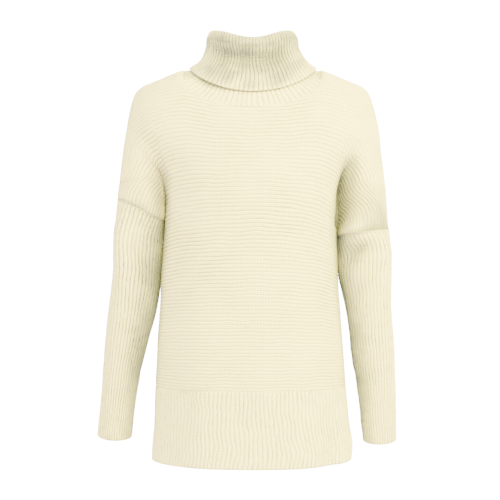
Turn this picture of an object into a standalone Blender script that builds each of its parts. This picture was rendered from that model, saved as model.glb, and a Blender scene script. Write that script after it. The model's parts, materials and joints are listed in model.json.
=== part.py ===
"""Roll-neck rib jumper, worn: front, back, two sleeves, two hem ribs and a turned-down collar.

Metres, +Z up, the front faces -Y. +X is the wearer's left. The origin is the middle of the neck, level with
the neck ends of the shoulder seams. Every piece is a closed wall of knitted cloth with raised ribs outside.
"""

import math

import bmesh
import bpy
import numpy as np

# ---------------------------------------------------------------- driving sizes
CLOTH = 0.0022  # wall from the inside to the bottom of the grooves
RIB_HEIGHT = 0.0018  # ridge above groove
SEAM_GAP = 0.0003  # between two pieces at a seam
SEAM_Y = 0.004  # the shoulder and side seams lie in this plane
UNDERARM_Z = -0.239  # centre height of the rib row that meets the underarm
HEM_TOP_Z = -0.548  # seam between body and hem rib
HEM_END_Z = -0.678  # lower edge of the hem rib
BODY_ROUNDNESS = 2.3  # exponent of the body's oval
ARM_ROUNDNESS = 2.2  # exponent of the upper arm's oval
BLEND = 4.0  # how softly body and arm join above the underarm
CLOSING_START_Z = -0.20  # above this height the body rounds in to the shoulder seam
ARM_CLOSING_START_Z = -0.12
CLOSING = {"front": 2.0, "back": 3.0}  # exponents of that rounding
NECK_HALF_WIDTH = 0.121
NECK_SIDE_Z = 0.003
NECK_DROP = {"front": 0.0695, "back": 0.011}
NECK_ROUNDNESS = 2.4

BODY_RIBS = 49  # ribs between the underarm row and the hem rib
BODY_RIB_EASE = 0.12  # ribs are wider at the top than at the bottom
SLEEVE_RIBS = 44
HEM_RIBS = 68  # on each of the two hem pieces
COLLAR_RIBS = 76

CREAM = (0.86, 0.80, 0.66, 1.0)
KNIT_ROUGHNESS = 0.95

RIGHT, LEFT = -1, 1  # the wearer's sides, as signs of X
FACES = {"front": -1, "back": 1}  # as signs of Y


def table(names, rows):
    """A dictionary of columns from a short table."""
    return dict(zip(names.split(), np.array(rows, float).T))


# Half-widths of the body on the wearer's right and left, and its depths from the seam plane.
TORSO = table(
    "z        right   left    front   back",
    [
        (-0.678, 0.1750, 0.1730, 0.134, 0.131),
        (-0.655, 0.1740, 0.1750, 0.133, 0.130),
        (-0.610, 0.1700, 0.1690, 0.130, 0.126),
        (-0.548, 0.1675, 0.1640, 0.127, 0.119),
        (-0.470, 0.1645, 0.1580, 0.122, 0.109),
        (-0.400, 0.1605, 0.1520, 0.120, 0.103),
        (-0.350, 0.1575, 0.1495, 0.122, 0.103),
        (-0.300, 0.1535, 0.1480, 0.124, 0.104),
        (-0.245, 0.1510, 0.1475, 0.127, 0.107),
        (-0.215, 0.1530, 0.1490, 0.127, 0.110),
        (-0.180, 0.1600, 0.1570, 0.126, 0.112),
        (-0.140, 0.1760, 0.1740, 0.123, 0.114),
        (-0.100, 0.1950, 0.1950, 0.120, 0.116),
        (-0.060, 0.2080, 0.2080, 0.118, 0.118),
        (0.015, 0.2120, 0.2120, 0.116, 0.118),
    ],
)

# The shoulder seam seen from the front, from the middle of the neck to low on the upper arm.
SHOULDER_LINE = table(
    "x      z",
    [
        (0.0000, 0.012),
        (0.0600, 0.010),
        (0.1210, 0.003),
        (0.1480, -0.0075),
        (0.1720, -0.0175),
        (0.1900, -0.0250),
        (0.2020, -0.0350),
        (0.2090, -0.0490),
        (0.2145, -0.0700),
        (0.2195, -0.0960),
        (0.2250, -0.1350),
        (0.2295, -0.1720),
        (0.2335, -0.2120),
        (0.2365, -0.2500),
        (0.2410, -0.2900),
    ],
)

# Where each sleeve is sewn on, and how high the arm's inner edge stands off the body above it.
ARMHOLE = {
    RIGHT: {"under_z": -0.262, "top_z": -0.222},
    LEFT: {"under_z": -0.285, "top_z": -0.276},
}
ARM_INNER = table(
    "rise   inset",  # above the underarm point, in from the body's half-width there
    [
        (0.000, 0.000),
        (0.030, 0.003),
        (0.060, 0.010),
        (0.100, 0.026),
        (0.150, 0.048),
        (0.200, 0.070),
        (0.300, 0.095),
    ],
)
UNDERARM_EASE = 0.002  # the armhole's foot stands off the side seam by this much
ARM_DEPTH = {"front": 0.062, "back": 0.060}

# The crease where the sleeve folds in against the body: its path seen from the front, and its size.
CREASE_NAMES = "z      x      depth  width"
CREASES = {
    ("front", RIGHT): table(
        CREASE_NAMES,
        [
            (-0.256, 0.1525, 0.000, 0.010),
            (-0.230, 0.1520, 0.005, 0.011),
            (-0.200, 0.1525, 0.010, 0.012),
            (-0.178, 0.1570, 0.011, 0.013),
            (-0.155, 0.1650, 0.008, 0.015),
            (-0.127, 0.1740, 0.003, 0.017),
            (-0.100, 0.1820, 0.000, 0.020),
        ],
    ),
    ("front", LEFT): table(
        CREASE_NAMES,
        [
            (-0.278, 0.1480, 0.000, 0.010),
            (-0.255, 0.1480, 0.005, 0.011),
            (-0.226, 0.1490, 0.011, 0.012),
            (-0.190, 0.1520, 0.015, 0.013),
            (-0.168, 0.1600, 0.013, 0.014),
            (-0.145, 0.1730, 0.007, 0.016),
            (-0.120, 0.1890, 0.000, 0.018),
        ],
    ),
}
CREASES["back", RIGHT] = CREASES["front", RIGHT]
CREASES["back", LEFT] = CREASES["front", LEFT]

# Sections of the yoke: lines, seen from the front, from a foot on the underarm row (by its angle round the
# body) to the shoulder line (by its X, or the armhole at the last one), bowed towards the middle of the body
# and upwards, so that two of them run along the crease beside the arm. Each has its rib pitch.
SECTIONS = table(
    "foot_deg top_x   bow_x  bow_z  pitch",
    [
        (0.0, 0.0000, 0.000, 0.000, 0.00665),
        (19.0, 0.0650, 0.000, 0.000, 0.00680),
        (38.0, 0.1210, 0.000, 0.000, 0.00735),
        (55.0, 0.1870, 0.008, 0.000, 0.00740),
        (68.0, 0.2090, 0.036, 0.030, 0.00745),
        (79.0, 0.2240, 0.048, 0.060, 0.00750),
        (90.0, 0.2320, 0.052, 0.070, 0.00720),
        (90.0, 0.2345, 0.000, 0.000, 0.00665),
    ],
)
HPS = 2  # the section that ends where neckline and shoulder seam meet
ARMHOLE_SECTION = 7
BODY_ANGLES = (0.0, 19.0, 38.0, 58.0, 75.0, 90.0)  # columns of each quarter of the body and hem
INNER_STEP = 14  # half ribs from one point to the next on the plain inside
EDGE_STEP = 4  # the same beside an edge, where the wall's thickness is seen

# Soft folds of the body and hem: angle from the middle, heights, depth (below zero is a ridge) and width.
FOLD_NAMES = "angle  low     high    depth   width"
BODY_FOLDS = {
    "front": table(
        FOLD_NAMES,
        [
            (3.0, -0.600, -0.470, -0.0030, 7.0),
            (-9.0, -0.680, -0.500, 0.0035, 9.0),
            (-26.0, -0.590, -0.450, -0.0030, 12.0),
            (38.0, -0.480, -0.180, 0.0030, 14.0),
            (60.0, -0.720, -0.540, 0.0060, 13.0),
            (-45.0, -0.720, -0.560, 0.0040, 14.0),
            (22.0, -0.720, -0.580, -0.0030, 12.0),
        ],
    ),
    "back": table(
        FOLD_NAMES,
        [
            (-6.0, -0.700, -0.420, 0.0040, 10.0),
            (30.0, -0.640, -0.330, 0.0040, 13.0),
            (-38.0, -0.560, -0.260, 0.0035, 13.0),
            (12.0, -0.720, -0.560, -0.0035, 11.0),
            (58.0, -0.720, -0.500, 0.0045, 14.0),
            (-60.0, -0.720, -0.560, 0.0045, 14.0),
        ],
    ),
}

# Sleeve rings below the armhole: centre, half-width in the front view, half-depth, and tilt.
SLEEVE_NAMES = "x      y       z       width   depth   tilt"
SLEEVES = {
    RIGHT: table(
        SLEEVE_NAMES,
        [
            (0.1970, 0.005, -0.294, 0.0415, 0.0570, 10.0),
            (0.2007, 0.007, -0.346, 0.0410, 0.0530, 4.0),
            (0.2070, 0.009, -0.405, 0.0415, 0.0485, 2.0),
            (0.2200, 0.009, -0.480, 0.0350, 0.0425, 2.0),
            (0.2325, 0.001, -0.560, 0.0298, 0.0355, 4.0),
            (0.2410, -0.009, -0.6345, 0.0287, 0.0315, 5.0),
        ],
    ),
    LEFT: table(
        SLEEVE_NAMES,
        [
            (0.1955, 0.005, -0.311, 0.0445, 0.0575, 3.0),
            (0.1985, 0.007, -0.355, 0.0430, 0.0540, 2.0),
            (0.2030, 0.009, -0.410, 0.0395, 0.0490, 2.0),
            (0.2110, 0.009, -0.485, 0.0370, 0.0430, 2.0),
            (0.2185, 0.001, -0.565, 0.0328, 0.0365, 4.0),
            (0.2235, -0.009, -0.6410, 0.0292, 0.0325, 4.0),
        ],
    ),
}
CUFF_FRONT_DROP = 0.006  # the cuff's front edge hangs lower than its sides

# Soft folds of a sleeve: where they start and end (share of the way round from the underarm seam over the
# front, and height), depth and width.
SLEEVE_FOLD_NAMES = "start  start_z end    end_z   depth   width"
SLEEVE_FOLDS = {
    RIGHT: table(
        SLEEVE_FOLD_NAMES,
        [
            (0.16, -0.290, 0.27, -0.250, 0.0050, 0.013),
            (0.13, -0.345, 0.28, -0.300, 0.0045, 0.014),
            (0.90, -0.400, 0.72, -0.350, 0.0045, 0.016),
            (0.92, -0.470, 0.74, -0.430, 0.0040, 0.016),
        ],
    ),
    LEFT: table(
        SLEEVE_FOLD_NAMES,
        [
            (0.10, -0.330, 0.26, -0.300, 0.0070, 0.013),
            (0.12, -0.395, 0.30, -0.350, 0.0040, 0.015),
            (0.90, -0.390, 0.72, -0.340, 0.0045, 0.016),
            (0.92, -0.470, 0.74, -0.430, 0.0040, 0.016),
        ],
    ),
}

# Rings of the collar's wall at mid-thickness, from the neckline seam up, over the fold and down to the edge.
# Each is an oval round the neck with its own heights at the sides, front and back.
COLLAR = table(
    "half    front   back    side_z  front_z back_z  sweep ribs_in ribs_out",
    [
        (0.1045, 0.0775, 0.0770, 0.0045, -0.0450, 0.0000, 1.6, 0, 1),
        (0.0850, 0.0650, 0.0690, 0.0090, -0.0260, 0.0110, 1.8, 0, 0),
        (0.0670, 0.0500, 0.0590, 0.0430, 0.0160, 0.0390, 3.0, 0, 0),
        (0.0730, 0.0562, 0.0640, 0.0690, 0.0505, 0.0600, 5.0, 1, 0),
        (0.0775, 0.0630, 0.0695, 0.0600, 0.0410, 0.0520, 4.0, 1, 0),
        (0.0790, 0.0590, 0.0695, 0.0420, 0.0190, 0.0360, 2.5, 1, 0),
        (0.0890, 0.0720, 0.0770, 0.0220, -0.0120, 0.0190, 1.8, 1, 0),
        (0.1090, 0.0885, 0.0900, 0.0095, -0.0410, 0.0050, 1.45, 1, 0),
    ],
)
COLLAR_SEAM_GAP = 0.00045  # wider than SEAM_GAP, as the ribs of the two pieces cross here
COLLAR_FOLD = 4  # the ring at the top, counted from the neckline seam
COLLAR_DENT = {"x": -0.006, "z": 0.022, "depth": 0.005, "width": 0.045, "height": 0.014}


# ---------------------------------------------------------------- curves
def smooth(xs, ys, x):
    """A smooth curve through (xs, ys), read at x: cubic pieces with the slopes of the neighbouring points."""
    slopes = np.gradient(ys, xs)
    x = np.clip(x, xs[0], xs[-1])
    i = np.clip(np.searchsorted(xs, x) - 1, 0, len(xs) - 2)
    step = xs[i + 1] - xs[i]
    t = (x - xs[i]) / step
    return (
        ys[i] * (1 + 2 * t) * (1 - t) ** 2
        + slopes[i] * step * t * (1 - t) ** 2
        + ys[i + 1] * t**2 * (3 - 2 * t)
        + slopes[i + 1] * step * t**2 * (t - 1)
    )


def column(source, key, name, x):
    return smooth(source[key], source[name], x)


def lengths(points):
    """Distance along a line of points, from its first point."""
    steps = np.linalg.norm(np.diff(points, axis=0), axis=1)
    return np.concatenate([[0.0], np.cumsum(steps)])


def read_line(stations, values, at):
    """Values (one row for each station) read at other stations, in straight lines between them."""
    return np.stack([np.interp(at, stations, values[:, k]) for k in range(values.shape[1])], axis=1)


def unit(vectors):
    return vectors / np.maximum(np.linalg.norm(vectors, axis=-1, keepdims=True), 1e-12)


def triangle_wave(index):
    """0 at even half ribs (a groove) and 1 at odd ones (a ridge)."""
    return 1.0 - np.abs((np.asarray(index, float) % 2.0) - 1.0)


def oval(share, power):
    """Height of a rounded arch over -1..1, 1 in the middle and 0 at both ends."""
    return (1.0 - np.clip(np.abs(share), 0.0, 1.0) ** power) ** (1.0 / power)


# ---------------------------------------------------------------- the shape of body and arms
OUTLINE_LENGTH = lengths(np.stack([SHOULDER_LINE["x"], SHOULDER_LINE["z"]], axis=1))
OUTLINE_AT = np.linspace(0.0, OUTLINE_LENGTH[-1], 300)
OUTLINE_X = smooth(OUTLINE_LENGTH, SHOULDER_LINE["x"], OUTLINE_AT)
OUTLINE_Z = smooth(OUTLINE_LENGTH, SHOULDER_LINE["z"], OUTLINE_AT)


def half_width(z, side):
    return column(TORSO, "z", "right" if side == RIGHT else "left", z)


def torso_depth(z, face):
    return column(TORSO, "z", face, z)


def outline_height(x):
    return np.interp(x, OUTLINE_X, OUTLINE_Z)


def outline_reach(z):
    return np.interp(-z, -OUTLINE_Z, OUTLINE_X)


def arm_inner(z, side):
    """X of the arm's inner edge, as a positive distance."""
    under_z = ARMHOLE[side]["under_z"]
    return half_width(under_z, side) + UNDERARM_EASE - column(ARM_INNER, "rise", "inset", z - under_z)


def closing(x, z, start_z, power):
    """1 on the body, rounding to 0 at the shoulder line."""
    room = np.maximum(outline_height(x) - start_z, 1e-6)
    return oval(np.clip((z - start_z) / room, 0.0, 1.0), power)


def crease_depth(x, z, face, side):
    crease = CREASES[face, side]
    inside = (z > crease["z"][0]) & (z < crease["z"][-1])
    depth = np.maximum(column(crease, "z", "depth", z), 0.0) * inside
    across = (x - column(crease, "z", "x", z)) / column(crease, "z", "width", z)
    return depth * np.exp(-(across**2))


def surface_depth(x, z, face, side):
    """How far the cloth stands off the seam plane, for x (a positive distance) and z above the underarm."""
    body = torso_depth(z, face) * oval(x / half_width(z, side), BODY_ROUNDNESS)
    body = body * closing(x, z, CLOSING_START_Z, CLOSING[face])
    inner, outer = arm_inner(z, side), outline_reach(z)
    across = (x - (inner + outer) / 2) / ((outer - inner) / 2)
    arm = ARM_DEPTH[face] * oval(across, ARM_ROUNDNESS)
    arm = arm * closing(x, z, ARM_CLOSING_START_Z, ARM_ROUNDNESS)
    joined = (body**BLEND + arm**BLEND) ** (1.0 / BLEND)
    return np.maximum(joined - crease_depth(x, z, face, side), 0.0)


def seam_plane(face):
    return SEAM_Y + FACES[face] * SEAM_GAP / 2


def fold_push(angle, z, face):
    """How far the soft folds move the body's wall outwards."""
    folds = BODY_FOLDS[face]
    push = 0.0
    for middle, low, high, depth, width in zip(*(folds[name] for name in FOLD_NAMES.split())):
        along = np.clip((z - low) / (high - low), 0.0, 1.0)
        push = push - depth * np.exp(-(((angle - middle) / width) ** 2)) * np.sin(math.pi * along) ** 2
    return push


def underarm_height(angle, side):
    """Height of the rib row that meets the underarm, by the angle round the body from the middle."""
    return UNDERARM_Z + (ARMHOLE[side]["under_z"] - UNDERARM_Z) * (angle / 90.0) ** 2


def body_point(angle, z, face, side):
    """A point of the body's outer surface below the underarm."""
    turn = np.radians(angle)
    x = half_width(z, side) * np.sin(turn) ** (2 / BODY_ROUNDNESS)
    depth = torso_depth(z, face) * np.maximum(np.cos(turn), 0.0) ** (2 / BODY_ROUNDNESS)
    depth = depth + fold_push(side * angle, z, face) * np.sqrt(np.maximum(np.cos(turn), 0.0))
    return np.stack([side * x, seam_plane(face) + FACES[face] * depth, z + 0 * x], axis=-1)


def section_ends(section, side):
    """Foot and top of a yoke section in the front view, as (x, z) with x positive."""
    index = np.arange(len(SECTIONS["foot_deg"]))
    angle = np.interp(section, index, SECTIONS["foot_deg"])
    foot_z = underarm_height(angle, side)
    foot_x = half_width(foot_z, side) * np.sin(np.radians(angle)) ** (2 / BODY_ROUNDNESS)
    foot_x = foot_x + UNDERARM_EASE * np.clip(angle / 45.0 - 1.0, 0.0, 1.0) ** 2
    tops = np.interp(SECTIONS["top_x"], OUTLINE_X, OUTLINE_AT)
    tops[-1] = np.interp(-ARMHOLE[side]["top_z"], -OUTLINE_Z, OUTLINE_AT)
    at = np.interp(section, index, tops)
    top = (np.interp(at, OUTLINE_AT, OUTLINE_X), np.interp(at, OUTLINE_AT, OUTLINE_Z))
    return (foot_x, foot_z), top


SAMPLES = 241
ALONG = (1 - np.cos(np.linspace(0.0, math.pi, SAMPLES))) / 2  # crowded at both ends, where the cloth turns


def section_points(section, face, side):
    """The whole outer line of a yoke section, from its foot to the shoulder line."""
    foot, top = section_ends(section, side)
    index = np.arange(len(SECTIONS["bow_x"]))
    bow = 2 * ALONG * (1 - ALONG)
    x = foot[0] + (top[0] - foot[0]) * ALONG - np.interp(section, index, SECTIONS["bow_x"]) * bow
    z = foot[1] + (top[1] - foot[1]) * ALONG + np.interp(section, index, SECTIONS["bow_z"]) * bow
    depth = surface_depth(x, z, face, side)
    turn = np.interp(section, np.arange(len(SECTIONS["foot_deg"])), SECTIONS["foot_deg"])
    depth = depth + fold_push(side * turn, z, face) * (1 - ALONG) * math.sqrt(max(0.0, math.cos(math.radians(turn))))
    points = np.stack([side * x, seam_plane(face) + FACES[face] * depth, z], axis=1)
    facet = body_facet(turn, face, side) - body_point(turn, underarm_height(turn, side), face, side)
    return points + facet * (1 - ALONG[:, None]) ** 2


def body_facet(angle, face, side, z=None):
    """A point between two columns of the body, in a straight line from one to the other."""
    high = next(i for i, a in enumerate(BODY_ANGLES) if a >= angle)
    ends = (BODY_ANGLES[max(high - 1, 0)], BODY_ANGLES[high])
    heights = [underarm_height(a, side) if z is None else z for a in ends]
    first, second = (body_point(a, h, face, side) for a, h in zip(ends, heights))
    share = (angle - ends[0]) / max(ends[1] - ends[0], 1e-9)
    return first + (second - first) * share


def neckline_height(x, face):
    return NECK_SIDE_Z - NECK_DROP[face] * oval(x / NECK_HALF_WIDTH, NECK_ROUNDNESS)


def section_normals(section, face, side, points):
    """Outward directions along a section, from its own line and its neighbours'."""
    step = 0.04
    low, high = max(section - step, 0.0), min(section + step, float(ARMHOLE_SECTION))
    across = section_points(high, face, side) - section_points(low, face, side)
    if section == 0:  # the middle of the body: level from side to side
        across = np.tile([float(side), 0.0, 0.0], (SAMPLES, 1))
    along = np.gradient(points, axis=0)
    normals = unit(np.cross(along, across)) * FACES[face] * side
    if section == ARMHOLE_SECTION:  # the armhole's edge lies in one plane
        normals = unit(normals - np.outer(normals @ armhole_direction(side), armhole_direction(side)))
    if section >= ARMHOLE_SECTION - 1:
        normals[0] = (0.0, 0.0, -1.0)  # at the underarm point the cloth faces down
    return normals


def armhole_direction(side):
    """Down the arm, square to the plane of the armhole."""
    foot, top = section_ends(ARMHOLE_SECTION, side)
    line = np.array([side * (top[0] - foot[0]), 0.0, top[1] - foot[1]])
    direction = unit(np.cross(line, [0.0, 1.0, 0.0]))
    return direction * -math.copysign(1.0, direction[2])


def yoke_column(section, face, side):
    """Half-rib numbers from the foot, points and normals of a section, up to the neckline or shoulder seam."""
    points = section_points(section, face, side)
    normals = section_normals(section, face, side, points)
    far = lengths(points)
    end = far[-1]
    if section < HPS:
        above = points[:, 2] - neckline_height(np.abs(points[:, 0]), face)
        cut = int(np.argmax(above > 0))
        share = -above[cut - 1] / (above[cut] - above[cut - 1])
        end = far[cut - 1] + share * (far[cut] - far[cut - 1])
    half = np.interp(section, np.arange(len(SECTIONS["pitch"])), SECTIONS["pitch"]) / 2
    rows = np.arange(int(end / half + 0.6))
    at = np.append(rows * half, end)
    points, normals = read_line(far, points, at), unit(read_line(far, normals, at))
    if section >= HPS:  # the shoulder seam's edge lies in the seam plane
        normals[-1] = unit(normals[-1] * (1.0, 0.0, 1.0))
    return at / half, points, normals


def clear_of_seam(points, face):
    """Points of a panel, none of them past the plane of its seams."""
    plane = seam_plane(face)
    points[:, 1] = plane + FACES[face] * np.maximum(FACES[face] * (points[:, 1] - plane), 0.0)
    return points


def seam_between(first, second, face, side):
    """Where the half ribs that end between two sections meet the neckline or the shoulder seam."""
    ends = [yoke_column(s, face, side) for s in np.linspace(first, second, 9)]
    at = np.array([rows[-1] for rows, _, _ in ends])
    low, high = sorted((at[0], at[-1]))
    rows = np.arange(math.ceil(low + 0.4), math.floor(high - 0.4) + 1)
    rising = slice(None) if at[-1] > at[0] else slice(None, None, -1)
    points = np.array([points[-1] for _, points, _ in ends])[rising]
    normals = np.array([normals[-1] for _, _, normals in ends])[rising]
    at = np.maximum.accumulate(at[rising])
    return rows, read_line(at, points, rows), unit(read_line(at, normals, rows))


# ---------------------------------------------------------------- walls
class Wall:
    """A closed skin of triangles, sewn together from lines of points."""

    def __init__(self):
        self.points, self.faces = [], []

    def line(self, stations, points):
        """Adds a line of points, which strip() later joins to others by their stations."""
        start = len(self.points)
        self.points.extend(np.asarray(points, float))
        return list(range(start, start + len(points))), np.asarray(stations, float)

    def strip(self, first, second):
        """Fills the space between two lines, always with the shorter of the two possible steps."""
        (a, at_a), (b, at_b) = first, second
        i = j = 0
        while i < len(a) - 1 or j < len(b) - 1:
            if j == len(b) - 1 or (i < len(a) - 1 and at_a[i + 1] - at_b[j] <= at_b[j + 1] - at_a[i]):
                self.faces.append((a[i], a[i + 1], b[j]))
                i += 1
            else:
                self.faces.append((a[i], b[j + 1], b[j]))
                j += 1

    def strips(self, lines):
        for first, second in zip(lines, lines[1:]):
            self.strip(first, second)

    def build(self, name, material):
        """Welds the lines where they meet, and makes the object."""
        sheet = bmesh.new()
        made = [sheet.verts.new(p) for p in self.points]
        for corners in self.faces:
            if len(set(corners)) == 3:
                sheet.faces.new([made[i] for i in corners])
        bmesh.ops.remove_doubles(sheet, verts=sheet.verts, dist=1e-6)
        bmesh.ops.dissolve_degenerate(sheet, dist=1e-7, edges=sheet.edges)
        bmesh.ops.recalc_face_normals(sheet, faces=sheet.faces)
        if sheet.calc_volume(signed=True) < 0:
            bmesh.ops.reverse_faces(sheet, faces=sheet.faces)
        mesh = bpy.data.meshes.new(name)
        sheet.to_mesh(mesh)
        sheet.free()
        mesh.materials.append(material)
        mesh.shade_smooth()
        thing = bpy.data.objects.new(name, mesh)
        bpy.context.scene.collection.objects.link(thing)
        return thing


def knit(name):
    """The material of one piece: cream yarn, matt."""
    material = bpy.data.materials.new(name)
    material.use_nodes = True
    shader = material.node_tree.nodes["Principled BSDF"]
    shader.inputs["Base Color"].default_value = CREAM
    shader.inputs["Roughness"].default_value = KNIT_ROUGHNESS
    shader.inputs["Metallic"].default_value = 0.0
    return material


def ribbed(points, normals, index):
    return points + normals * (RIB_HEIGHT * (triangle_wave(index) - 0.5))[:, None]


def inside(points, normals):
    return points - normals * (CLOTH + RIB_HEIGHT / 2)


# ---------------------------------------------------------------- body panels
def yoke_order():
    """Sections from the wearer's right armhole over the middle to the left one, as (section, side)."""
    right = [(float(k), RIGHT) for k in range(ARMHOLE_SECTION, 0, -1)]
    left = [(float(k), LEFT) for k in range(1, ARMHOLE_SECTION + 1)]
    return [*right, (0.0, LEFT), *left]


def lower_rows():
    """Share of the way down from the underarm row to the hem seam, for each half rib."""
    share = np.arange(1, 2 * BODY_RIBS + 1) / (2 * BODY_RIBS)
    return share + BODY_RIB_EASE * share * (1 - share)


def lower_column(angle, face, side, shares):
    """Points and normals of the body below the underarm, down one line."""
    top = underarm_height(angle, side)
    z = top + (HEM_TOP_Z - top) * shares
    points = body_point(angle, z, face, side)
    return points, body_normals(angle, z, face, side)


def body_normals(angle, z, face, side):
    """Outward directions of the body or hem; level, so that the edges stay in their planes."""
    step = 0.5
    low, high = max(angle - step, 0.0), min(angle + step, 90.0)
    across = body_point(high, z, face, side) - body_point(low, z, face, side)
    normals = np.stack([across[:, 1], -across[:, 0], 0 * z], axis=1) * side * FACES[face] * -1
    if angle == 0.0:
        normals = np.tile([0.0, float(FACES[face]), 0.0], (len(z), 1))
    if angle == 90.0:
        normals = np.tile([float(side), 0.0, 0.0], (len(z), 1))
    return unit(normals)


def body_order():
    right = [(a, RIGHT) for a in reversed(BODY_ANGLES[1:])]
    return [*right, *[(a, LEFT) for a in BODY_ANGLES]]


def joined(line, more):
    """A line of points with more points after its last one."""
    return line[0] + more[0], np.append(line[1], more[1])


def yoke(wall, face):
    """The part of a panel above the underarm, section by section. Where a section is shorter than the next,
    it goes on along the seam, so that each rib is cut off there. Returns the outer and inner lines."""
    outer, inner, outer_seam, inner_seam = [], [], [], []
    order = yoke_order()
    for section, side in order:
        rows, points, normals = yoke_column(section, face, side)
        outer.append(wall.line(rows, clear_of_seam(ribbed(points, normals, rows), face)))
        step = EDGE_STEP if section > HPS + 2 else 2 * EDGE_STEP
        start = 8 if section >= ARMHOLE_SECTION - 1 else 0  # all of the first rows, round the tight underarm
        keep = [*range(start), *range(start, len(rows) - step // 2, step), len(rows) - 1]
        inner.append(wall.line(rows[keep], clear_of_seam(inside(points, normals)[keep], face)))
    for k, ((first, side), (second, other_side)) in enumerate(zip(order, order[1:])):
        rows, points, normals = seam_between(first, second, face, side if first > 0 else other_side)
        shorter = k if outer[k][1][-1] < outer[k + 1][1][-1] else k + 1
        longer = 2 * k + 1 - shorter
        for lines, seam, made in (
            (outer, outer_seam, ribbed(points, normals, rows)),
            (inner, inner_seam, inside(points, normals)),
        ):
            more = wall.line(rows, clear_of_seam(made, face))
            wall.strip(joined(lines[shorter], more), lines[longer])
            ids = more[0] if shorter == k else more[0][::-1]
            seam.extend([lines[k][0][-1], *ids])
    outer_seam.append(outer[-1][0][-1])
    inner_seam.append(inner[-1][0][-1])
    wall.strip((outer_seam, np.arange(len(outer_seam))), (inner_seam, np.arange(len(inner_seam))))
    wall.strip(outer[0], inner[0])
    wall.strip(outer[-1], inner[-1])
    return outer, inner


def body_panel(face):
    """Front or back of the body, with its dropped shoulders: the yoke's sections, then rows below them."""
    wall = Wall()
    outer, inner = yoke(wall, face)

    # Below the underarm the outer lines of points run round the body, one for each half rib, and the inner
    # lines run down it.
    turns = np.array([side * SECTIONS["foot_deg"][int(section)] for section, side in yoke_order()])
    places = np.array([side * angle for angle, side in body_order()])
    shares = lower_rows()
    columns = [lower_column(angle, face, side, shares) for angle, side in body_order()]
    outer_rows = [([ids[0] for ids, _ in outer], turns)]
    for row in range(len(shares)):
        points = np.array([points[row] for points, _ in columns])
        normals = np.array([normals[row] for _, normals in columns])
        outer_rows.append(wall.line(places, ribbed(points, normals, np.full(len(points), row + 1))))
    wall.strips(outer_rows)
    inner_columns = []
    for points, normals in columns:
        step = EDGE_STEP if len(inner_columns) in (0, len(columns) - 1) else INNER_STEP
        keep = [EDGE_STEP - 1, *range(EDGE_STEP + step - 1, len(shares) - step // 2, step), len(shares) - 1]
        inner_columns.append(wall.line(keep, inside(points, normals)[keep]))
    wall.strips(inner_columns)
    wall.strip(([ids[0] for ids, _ in inner], turns), ([ids[0] for ids, _ in inner_columns], places))
    wall.strip(outer_rows[-1], ([ids[-1] for ids, _ in inner_columns], places))
    for end in (0, -1):
        outer_edge = [ids[end] for ids, _ in outer_rows], np.arange(-1, len(shares))
        inner_edge = joined(([inner[end][0][0]], np.array([-1])), inner_columns[end])
        wall.strip(outer_edge, inner_edge)
    return wall.build("body_" + face, knit("body_" + face))


# ---------------------------------------------------------------- hem ribs
HEM_ROWS = (HEM_TOP_Z - SEAM_GAP, -0.612, HEM_END_Z)
HEM_SIDE_LIFT = 0.003  # the hem hangs a little lower in the middle


def hem_piece(face):
    """Front or back hem rib: upright ribs on the body's own oval."""
    wall = Wall()
    half_ribs = np.arange(2 * HEM_RIBS + 1)
    outer, inner = [], []
    for z in HEM_ROWS:
        dense = np.linspace(-90.0, 90.0, 361)
        sides = np.where(dense < 0, RIGHT, LEFT)
        drop = HEM_SIDE_LIFT * np.sin(np.radians(dense)) ** 2 if z == HEM_END_Z else 0 * dense
        if z == HEM_ROWS[0]:  # the upper edge follows the body's columns
            line = np.array([body_facet(abs(a), face, s, z) for a, s in zip(dense, sides)])
        else:
            line = np.array([body_point(abs(a), z + d, face, s) for a, s, d in zip(dense, sides, drop)])
        normals = np.array(
            [body_normals(abs(a), np.array([z + d]), face, s)[0] for a, s, d in zip(dense, sides, drop)]
        )
        at = lengths(line)
        even = at[-1] * half_ribs / half_ribs[-1]
        points, out = read_line(at, line, even), unit(read_line(at, normals, even))
        outer.append(wall.line(half_ribs, ribbed(points, out, half_ribs)))
        keep = half_ribs[:: EDGE_STEP if z in (HEM_ROWS[0], HEM_ROWS[-1]) else 2 * EDGE_STEP]
        inner.append(wall.line(keep, inside(points, out)[keep]))
    wall.strips(outer)
    wall.strips(inner)
    wall.strip(outer[0], inner[0])
    wall.strip(outer[-1], inner[-1])
    for end in (0, -1):
        rows = np.arange(len(HEM_ROWS))
        wall.strip(([ids[end] for ids, _ in outer], rows), ([ids[end] for ids, _ in inner], rows))
    return wall.build("hem_" + face, knit("hem_" + face))


# ---------------------------------------------------------------- sleeves
RING_SAMPLES = 720


def evenly(loop, count):
    """Points at even distances round a closed line, from its first point, with the first repeated."""
    closed = np.vstack([loop, loop[:1]])
    at = lengths(closed)
    return read_line(at, closed, at[-1] * np.arange(count + 1) / count)


def ring_normals(rings):
    """Outward or inward directions, alike all over, of a tube given by closed rings of points."""
    steps = unit(np.diff(rings[:, :-1], axis=0))
    along = np.concatenate([steps[:1], steps[:-1] + steps[1:], steps[-1:]])
    around = np.roll(rings[:, :-1], -1, axis=1) - np.roll(rings[:, :-1], 1, axis=1)
    normals = unit(np.cross(around, along))
    return np.concatenate([normals, normals[:, :1]], axis=1)


def armhole_loop(side):
    """The edge of both body panels at the armhole: up the front from the underarm, down the back."""
    front = section_points(ARMHOLE_SECTION, "front", side)
    back = section_points(ARMHOLE_SECTION, "back", side)
    return np.vstack([front, back[::-1]])


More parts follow.
